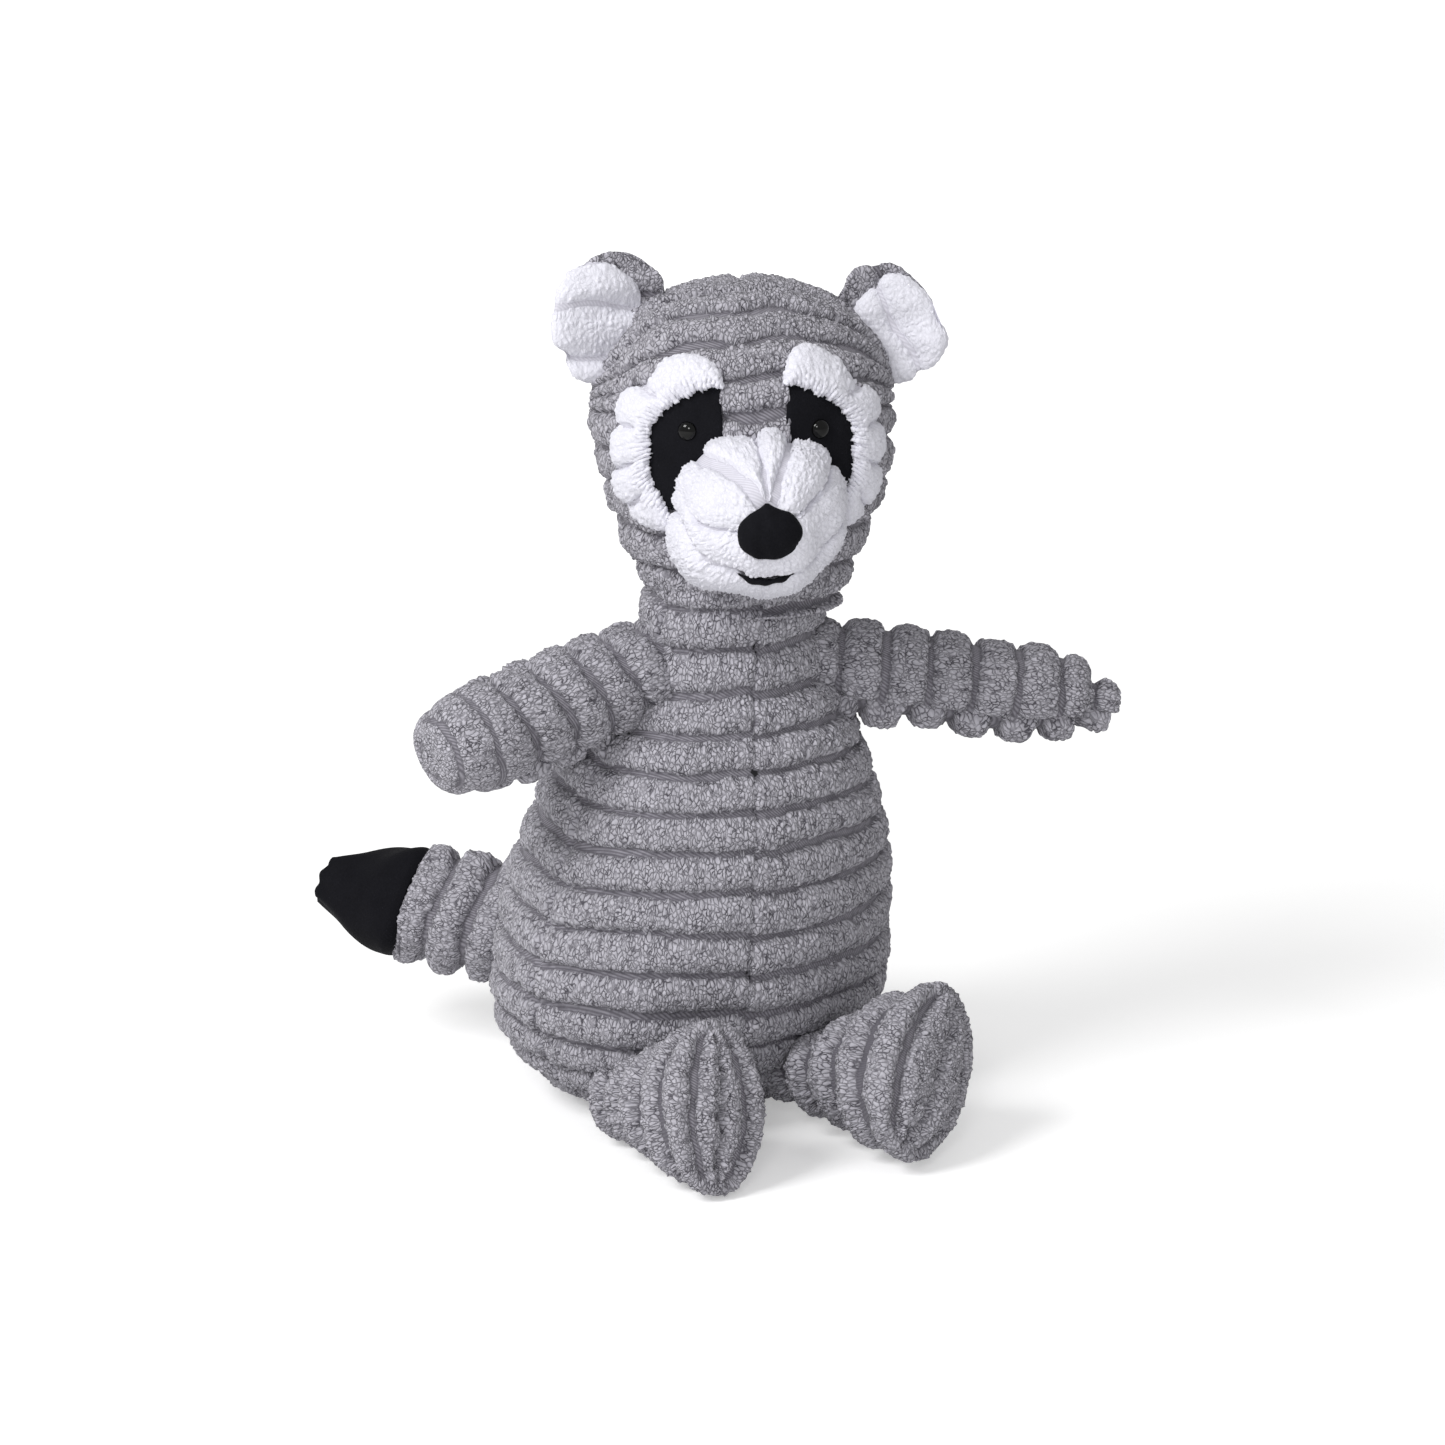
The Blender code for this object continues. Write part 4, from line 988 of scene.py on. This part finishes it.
def muzzle_relief(u, v, points):
    turn = 360.0 * u
    out = 180.0 * v
    spread = np.sin(pi * v) * MUZZLE_RADII[0]
    petals = np.full(u.shape, RIB_PITCH)
    for crease in CREASES:
        middle = np.interp(out, (CREASE_NEAR, CREASE_FAR), (crease["near"], crease["far"]))
        apart = np.abs((turn - middle + 180.0) % 360.0 - 180.0)
        petals = np.minimum(petals, np.radians(apart) * spread - crease["open"])
    x, _, z = ball(u, v, MUZZLE_RADII)
    lips = np.abs(z - crease_level(x))
    below = fade(z - crease_level(x), 0.0070, 0.0040)
    off = np.minimum(petals + 0.02 * below, lips + 0.0003) + 0.0004 * drift(points, 0.012, 51)
    shape, pile, unshaded = MUZZLE_WALE.relief(np.maximum(off, 0.0), points, woven=0.0006)
    nose_dip = 0.0010 * spot(v / 0.11)
    # Painted shade in the crease of the lips along the mouth: lowering the pile there darkens the white
    # cloth.
    mouth_crease_shade = spot(lips / 0.0006) * fade(np.abs(x), 0.0095, 0.0075)
    lump = 0.0009 * drift(points, 0.018, 52) + MUZZLE_PLUMP
    for rise, middle, reach in MUZZLE_HILLS:
        lump = lump + rise * spot((turn - middle) / reach, (out - 80.0) / 30.0)
    across = (u + 0.0030 * drift(points, 0.010, 57)) * STRANDS
    strand = np.floor(across).astype(np.int64)
    onward = out / LOCK_SPAN + lots(across, 5)
    lot = jumble(np.stack([strand, np.floor(onward).astype(np.int64), strand], axis=-1), 6)
    ridge = strands(across) * (onward % 1.0) * (0.2 + 0.8 * lot)
    comb = LOCK_HEIGHT * ridge * fade(out, 25.0, 80.0) * fade(out, 125.0, 100.0) * pile
    return shape + lump + comb - nose_dip, pile - 0.6 * mouth_crease_shade, unshaded


muzzle_mesh = sewn("muzzle_cloth", 3 * STRANDS, count(pi * 0.034), muzzle_form, muzzle_relief,
                   MUZZLE_WALE.lay, hasten=1.35)
dressed(muzzle_mesh, "white_plush", ["muzzle_left", "muzzle_right", "chin"])

# %% [markdown]
# The nose is an oval of the same black plush, sewn on with a small peak where it meets the muzzle's seam.
# The mouth is a thin black crescent, fattest in the middle, that follows the dome.

# %% Nose and mouth
NOSE_RADII = (0.0091, 0.0042, 0.0072)
NOSE_DROP = 0.0013
NOSE_SINK = 0.0010
NOSE_PEAK = 0.0012
NOSE_ROUNDING = 0.25
MOUTH_HALF = 0.0080
MOUTH_THICK = 0.0012
MOUTH_SINK = 0.0004
MOUTH_STAND = 0.0014


def nose_form(u, v):
    x, forward, z = ball(u, v, NOSE_RADII)
    peak = NOSE_PEAK * spot((x + 0.0006) / 0.0012) * fade(z, 0.0035, 0.0065)
    front = MUZZLE_CENTRE[1] - MUZZLE_RADII[1] + NOSE_SINK
    y = front - forward * (1.0 - NOSE_ROUNDING * (z / NOSE_RADII[2]) ** 2)
    return on_head(x, y, MUZZLE_CENTRE[2] - NOSE_DROP + z + peak)


def smooth_nap(u, v, points):
    return napped(0.0003 * drift(points, 0.006, 55))


def mouth_form(u, v):
    turn = 2 * pi * u
    side = 2.0 * v - 1.0
    taper = np.sqrt(np.clip(1.0 - side**2, 0.0, 1.0))
    x = MOUTH_HALF * side
    z = crease_level(x) + MOUTH_THICK * taper * np.sin(turn)
    share = np.clip(1.0 - (x / MUZZLE_RADII[0]) ** 2 - (z / MUZZLE_RADII[2]) ** 2, 0.0, 1.0)
    y = MUZZLE_CENTRE[1] - MUZZLE_RADII[1] * np.sqrt(share) + MOUTH_SINK - MOUTH_STAND * taper * np.cos(turn)
    return on_head(x, y, MUZZLE_CENTRE[2] + z)


nose_mesh = sewn("nose_cloth", count(0.055), count(0.030), nose_form, smooth_nap)
mouth_mesh = sewn("mouth_cloth", 16, count(0.030), mouth_form, smooth_nap)
dressed(nose_mesh, "black_plush", ["nose"])
dressed(mouth_mesh, "black_plush", ["mouth"])

# %% [markdown]
# An ear is two ovals sewn together and turned: a white front that cups, and a grey back. Each is a pillow
# again. The white is sewn on low and outward, so the grey shows as a thick roll along the top and next to
# the head, and the outer edge of the ear is white. A few woven creases cross the front.

# %% Ears
EAR_HALF_WIDTH = 0.0134
EAR_HALF_HEIGHT = 0.0178
EAR_FRONT_THICKNESS = 0.0048
EAR_BACK_THICKNESS = 0.0058
EAR_FRONT_UNDER = 0.0022
EAR_BACK_UNDER = 0.0012
EAR_TAPER = 0.12
EAR_RIM = 0.0020
EAR_CUP = 14.0
EAR_SETS = {
    "left": {"side": 1, "middle": (0.0425, 0.0010, 0.0300), "rib_turn": 50.0, "first": 0.0010,
             "shift": (0.0022, -0.0004), "rim": 0.0004, "tall": 0.86, "roll": -0.0024},
    "right": {"side": -1, "middle": (-0.0378, 0.0010, 0.0325), "rib_turn": 14.0, "first": 0.0045,
              "shift": (0.0036, 0.0010), "rim": 0.0006, "tall": 1.0, "roll": -0.0022},
}
EAR_BACK_STEP = 0.0040
EAR_TURN = 8.0
EAR_TILT = 10.0
EAR_WALE = Wale(squeeze=0.8, depth=0.0018, pitch=0.0140, shag=0.55)


def ear_mesh(side_name, face_name):
    made = EAR_SETS[side_name]
    side = made["side"]
    front = face_name == "front"
    rim = made["rim"] if front else EAR_RIM
    shift = made["shift"] if front else (made["roll"], 0.0)
    first = made["first"] + (0.0 if front else EAR_BACK_STEP)
    turning = np.array(HEAD_PLACE @ Matrix.Translation(made["middle"])
                       @ Matrix.Rotation(radians(-side * EAR_TURN), 4, "Z")
                       @ Matrix.Rotation(radians(side * EAR_TILT), 4, "Y"))

    def flat(u, v):
        out, upper = pillow_rings(v)
        turn = 2 * pi * u
        x = (EAR_HALF_WIDTH + rim) * np.cos(turn) * out
        z = (EAR_HALF_HEIGHT + rim) * made["tall"] * np.sin(turn) * out
        return x + side * shift[0], z * (1.0 - EAR_TAPER * np.cos(turn) * out * side) + shift[1], out, upper

    def place(u, v):
        x, z, out, upper = flat(u, v)
        dome = np.sqrt(np.clip(1.0 - out**3, 0.0, 1.0))
        cup = EAR_CUP * (EAR_HALF_WIDTH**2 / 2 - x * x - 0.4 * z * z)
        if front:
            y = np.where(upper, -EAR_FRONT_THICKNESS * dome, EAR_FRONT_UNDER * dome)
        else:
            y = np.where(upper, -EAR_BACK_UNDER * dome, EAR_BACK_THICKNESS * dome)
        return placed(np.stack([x, y + cup, z], axis=-1), turning)

    def relief(u, v, points):
        x, z, _, _ = flat(u, v)
        lean = radians(made["rib_turn"])
        across = z * cos(lean) + x * sin(lean) + 0.0010 * drift(points, 0.02, 61 + side)
        off = from_groove(across, first, EAR_WALE.pitch)
        shape, pile, unshaded = EAR_WALE.relief(off, points, woven=0.0007)
        return shape + 0.0010 * drift(points, 0.014, 63), pile, unshaded

    return sewn(f"ear_{side_name}_{face_name}_cloth", count(2 * pi * EAR_HALF_HEIGHT), count(0.090),
                place, relief, EAR_WALE.lay)


for side_name, (face_name, slot) in product(EAR_SETS, (("front", "white_plush"), ("back", "grey_plush"))):
    dressed(ear_mesh(side_name, face_name), slot, [f"ear_{side_name}_{face_name}"])

# %% [markdown]
# Arms and tail are stuffed tubes with a rounded end. Two panels make each: the front one carries the ribs
# that we see, and the back one is sewn on about half a rib out of step, so that round nubs peep out below
# the seam.


# %% A stuffed tube
LIMB_SEAM_DEPTH = 0.0026
NUB_HEIGHT = 0.0020
WORN_SHARE = 0.75
LIMB_SWAY = 0.0005
LIMB_SOFT = 0.0007


def aimed(tip, aim):
    """The frame of a limb: its own Z runs from its tip to the point that it aims at."""
    along = (Vector(aim) - Vector(tip)).normalized()
    across = Vector((0.0, 0.0, 1.0)).cross(along).normalized()
    turn = Matrix((across, along.cross(across), along)).transposed().to_4x4()
    return np.array(Matrix.Translation(tip) @ turn)


def tube(name, outline, tip, aim, side, thickness, first, seam_low, slant=0.0, seed=70, shift=0.5,
         pitch=RIB_PITCH, worn=0.0):
    """A ribbed tube from its tip to inside the torso, with its front panel between two seams.

    slant tilts its rings, shift puts the back panel out of step, and worn is how far its tip is worn.
    """
    course = Outline([(radius, distance) for distance, radius in outline])
    turning = aimed(tip, aim)
    wale = Wale(long_way=turning[:3, 2], pitch=pitch)

    def place(u, v):
        turn = 2 * pi * u
        radius, distance = course.at(v * course.length)
        up = radius * np.sin(turn)
        tilt = slant * up * np.clip(distance / 0.030, 0.0, 1.0)
        local = np.stack([side * radius * np.cos(turn) * thickness, up, distance + tilt], axis=-1)
        return placed(local, turning)

    def relief(u, v, points):
        turn = 360.0 * u
        distance = v * course.length
        radius, _ = course.at(distance)
        past = (turn - seam_low + 360.0) % 360.0
        front = past < 180.0
        to_seam = np.minimum(np.minimum(past, 360.0 - past), np.abs(past - 180.0))
        to_seam = np.radians(to_seam) * radius
        sway = LIMB_SWAY * drift(points, 0.03, seed) + np.where(front, 0.0, shift * pitch)
        off = from_groove(distance + sway, first, pitch)
        off = np.maximum(off + LIMB_SWAY * drift(points, 0.02, seed + 1), 0.0)
        shape, pile, unshaded = wale.relief(off, points)
        on_rib = fade(off, *RIB_SIDE)
        seam = spot(to_seam / 0.0012) * LIMB_SEAM_DEPTH * on_rib * fade(distance, 0.004, 0.010)
        nubs = (1.0 - front) * spot((to_seam - 0.0055) / 0.0040) * NUB_HEIGHT * on_rib
        ends = fade(v, 1.0, 0.97)
        calm = 1.0 - WORN_SHARE * fade(distance, worn + 0.004, worn - 0.004) * (worn > 0.0)
        shape, seam, nubs = shape * calm, seam * calm, nubs * calm
        return (shape - seam + nubs + LIMB_SOFT * drift(points, 0.03, seed + 2)) * ends, pile, unshaded

    return sewn(f"{name}_cloth", count(2 * pi * 0.0165), count(course.length), place, relief, wale.lay,
                hasten=1.2)


# %% [markdown]
# The arm on the toy's left is slim, with a stubby paw behind a notch. The one on its right is a mitten: a
# plump round end, its rings slanting, and its pile worn low, so the first ribs are shallow there.

# %% Arms
ARM_OUTLINE = (
    (0.0000, 0.0000), (0.0008, 0.0045), (0.0040, 0.0066), (0.0085, 0.0078), (0.0120, 0.0112),
    (0.0180, 0.0132), (0.0300, 0.0142), (0.0500, 0.0147), (0.0800, 0.0145), (0.1050, 0.0138),
    (0.1100, 0.0080), (0.1105, 0.0000),
)
MITTEN_OUTLINE = (
    (0.0000, 0.0000), (0.0003, 0.0050), (0.0016, 0.0088), (0.0050, 0.0120), (0.0110, 0.0142),
    (0.0200, 0.0153), (0.0350, 0.0157), (0.0600, 0.0156), (0.0850, 0.0153), (0.1010, 0.0143),
    (0.1060, 0.0080), (0.1065, 0.0000),
)
ARM_THICKNESS = 0.92
MITTEN_FIRST_GROOVE = 0.0247
ARM_FIRST_GROOVE = 0.0117
ARM_PITCH = 0.0132
ARM_LEFT_TIP = (0.1202, -0.0440, NECK_SEAM_HEIGHT - 0.0368)
ARM_LEFT_AIM = (0.0097, -0.0160, NECK_SEAM_HEIGHT - 0.0198)
ARM_RIGHT_TIP = (-0.0880, -0.0438, NECK_SEAM_HEIGHT - 0.0357)
ARM_RIGHT_AIM = (0.0057, -0.0160, NECK_SEAM_HEIGHT - 0.0150)

arm_left = tube("arm_left", ARM_OUTLINE, ARM_LEFT_TIP, ARM_LEFT_AIM, 1, ARM_THICKNESS, ARM_FIRST_GROOVE,
                seam_low=-30.0, seed=70, shift=0.61, pitch=ARM_PITCH)
arm_right = tube("arm_right", MITTEN_OUTLINE, ARM_RIGHT_TIP, ARM_RIGHT_AIM, -1, ARM_THICKNESS,
                 MITTEN_FIRST_GROOVE, seam_low=-62.0, slant=-0.22, seed=75, worn=0.031)
dressed(arm_left, "grey_plush", ["arm_left"])
dressed(arm_right, "grey_plush", ["arm_right"])

# %% [markdown]
# The tail ends in a tip of smooth black plush, gathered to a blunt point. Tail and tip are two tubes in one
# line, and the tip's open side goes into the tail.

# %% Tail
TAIL_OUTLINE = (
    (0.0270, 0.0000), (0.0272, 0.0120), (0.0280, 0.0168), (0.0310, 0.0178), (0.0600, 0.0182),
    (0.1050, 0.0175), (0.1080, 0.0100), (0.1085, 0.0000),
)
TAIL_TIP_OUTLINE = (
    (0.0000, 0.0000), (0.0003, 0.0064), (0.0020, 0.0078), (0.0100, 0.0118), (0.0180, 0.0158),
    (0.0235, 0.0172), (0.0275, 0.0172), (0.0300, 0.0140), (0.0302, 0.0000),
)
TAIL_END = (-0.0883, 0.0805, 0.0480)
TAIL_AIM = (-0.0083, 0.0260, 0.0400)
TAIL_FIRST_GROOVE = 0.0290
TAIL_SLANT = 0.22
TIP_RISE = 0.0035
tip_course = Outline([(radius, distance) for distance, radius in TAIL_TIP_OUTLINE])
tail_turning = aimed(TAIL_END, TAIL_AIM)


def tip_form(u, v):
    turn = 2 * pi * u
    radius, distance = tip_course.at(v * tip_course.length)
    up = radius * np.sin(turn)
    raised = TIP_RISE * np.clip(1.0 - distance / 0.022, 0.0, 1.0) ** 1.5
    local = np.stack([radius * np.cos(turn), up + raised, distance + TAIL_SLANT * up], axis=-1)
    return placed(local, tail_turning)


def tip_relief(u, v, points):
    folds = 0.0008 * drift(points, 0.022, 81)
    gather = 0.0005 * np.cos(7 * 2 * pi * u + 2.0 * v) * fade(v, 0.45, 0.10) * fade(v, 0.0, 0.15)
    return napped((folds + gather) * fade(v, 0.0, 0.12))


tail_mesh = tube("tail", TAIL_OUTLINE, TAIL_END, TAIL_AIM, 1, 1.0, TAIL_FIRST_GROOVE, seam_low=-100.0,
                 slant=TAIL_SLANT, seed=80, shift=0.0)
dressed(tail_mesh, "grey_plush", ["tail"])
tip_mesh = sewn("tail_tip_cloth", count(2 * pi * 0.015), count(tip_course.length), tip_form, tip_relief)
dressed(tip_mesh, "black_plush", ["tail_tip"])

# %% [markdown]
# Each leg is a tube that widens to a lens-shaped sole. Its ribs are rings, and the last of them is the rim
# of the sole. The sole's own ribs run the long way: a groove on each side shows the woven ground, and the
# two shaggy ribs between them meet in a crease. The cloth starts at the middle of the sole, goes out over
# the rim, and back along the leg.

# %% Legs
LEG_POINT = -0.04
LEG_POSES = {
    "left": {
        "sole": (0.0480, -0.0855, 0.0284), "aim": (0.0180, -0.0340, 0.0160), "roll": 40.0,
        "sections": ((0.0000, 0.0184, 0.0260), (0.0080, 0.0190, 0.0256), (0.0160, 0.0182, 0.0225),
                     (0.0260, 0.0162, 0.0176), (0.0380, 0.0134, 0.0138), (0.0520, 0.0098, 0.0100),
                     (0.0650, 0.0085, 0.0085)),
        "groove": 0.74, "bow": 0.62, "first": 0.0095,
    },
    "right": {
        "sole": (-0.0179, -0.0890, 0.0266), "aim": (-0.0308, -0.0340, 0.0120), "roll": 8.0,
        "sections": ((0.0000, 0.0150, 0.0242), (0.0080, 0.0165, 0.0230), (0.0160, 0.0165, 0.0198),
                     (0.0260, 0.0156, 0.0166), (0.0400, 0.0134, 0.0136), (0.0650, 0.0104, 0.0106)),
        "groove": 0.60, "bow": 0.62, "first": 0.0062,
    },
}
SOLE_REACH = 0.0200
LEG_REACH = 0.0560
LEG_CLOSING = 0.012
SOLE_FLAT = 0.55
SOLE_TURN = 0.45
SOLE_EDGE = 0.0045
SOLE_SWELL = 0.0016
SOLE_CREASE_RISE = 0.0016
SOLE_WOVEN_HALF = 0.0012
LEG_WOVEN_HALF = 0.0014


def leg_mesh(side_name):
    pose = LEG_POSES[side_name]
    turning = aimed(pose["sole"], pose["aim"]) @ np.array(Matrix.Rotation(radians(pose["roll"]), 4, "Z"))
    starts, widths, heights = np.array(pose["sections"]).T
    total = SOLE_REACH + LEG_REACH + LEG_CLOSING
    wale = Wale(long_way=turning[:3, 2], depth=0.0036, shag=1.1, crown=0.0019)

    def lens(u, distance):
        turn = 2 * pi * u
        width = np.interp(distance, starts, widths)
        tall = np.interp(distance, starts, heights)
        point = LEG_POINT * np.clip(tall - width, 0.0, None) / (heights[0] - widths[0])
        return width * np.cos(turn) * (1.0 - point * np.sin(turn) ** 2), tall * np.sin(turn)

    def travel(v):
        gone = v * total
        share = np.clip(gone / SOLE_REACH, 0.0, 1.0)
        back = np.clip(gone - SOLE_REACH, 0.0, LEG_REACH)
        closing = np.clip((total - gone) / LEG_CLOSING, 0.0, 1.0)
        return share, back, closing

    def place(u, v):
        share, back, closing = travel(v)
        x, y = lens(u, back)
        edge = SOLE_EDGE * (1.0 - np.sqrt(1.0 - np.clip((share - SOLE_FLAT) / SOLE_TURN, 0.0, 1.0) ** 2))
        swell = SOLE_SWELL * (1.0 - share**2) * (back <= 0.0)
        size = np.where(back > 0.0, closing, share)
        local = np.stack([x * size, y * size, back + edge - swell], axis=-1)
        return placed(local, turning)

    def relief(u, v, points):
        share, back, closing = travel(v)
        x, y = lens(u, 0.0 * back)
        bow = pose["groove"] * widths[0] * (1.0 - pose["bow"] * (y * share / heights[0]) ** 2)
        waver = GROOVE_WAVER * drift(points, 0.012, 91)
        crease = np.abs(x * share + 2.0 * waver) + SOLE_CREASE_RISE
        off_sole = np.minimum(np.abs(np.abs(x * share) - bow), crease)
        off_sole = np.maximum(off_sole, 0.006 * fade(share, 0.90, 1.0))
        off_leg = from_groove(back + GROOVE_WAVER * drift(points, 0.02, 92), pose["first"])
        off_leg = np.where(back < pose["first"] - RIB_PITCH / 2, RIB_PITCH / 2, off_leg)
        on_sole = share < 0.9999
        off = np.where(on_sole, off_sole, off_leg)
        woven = np.where(on_sole, SOLE_WOVEN_HALF, LEG_WOVEN_HALF)
        shape, pile, unshaded = wale.relief(np.maximum(off + waver, 0.0), points, woven)
        rim = 0.0006 * fade(share, 0.7, 1.0) * fade(back, 0.006, 0.002)
        shade = 1.0 - 0.8 * spot(off_leg / 0.0022) * fade(share, 0.99, 1.0)
        return (shape + rim + 0.0008 * drift(points, 0.03, 93)) * fade(closing, 0.0, 0.5), pile, unshaded * shade

    return sewn(f"leg_{side_name}_cloth", count(2 * pi * 0.022), count(total), place, relief, wale.lay)


for side_name in LEG_POSES:
    dressed(leg_mesh(side_name), "grey_plush", [f"leg_{side_name}", f"sole_{side_name}"])
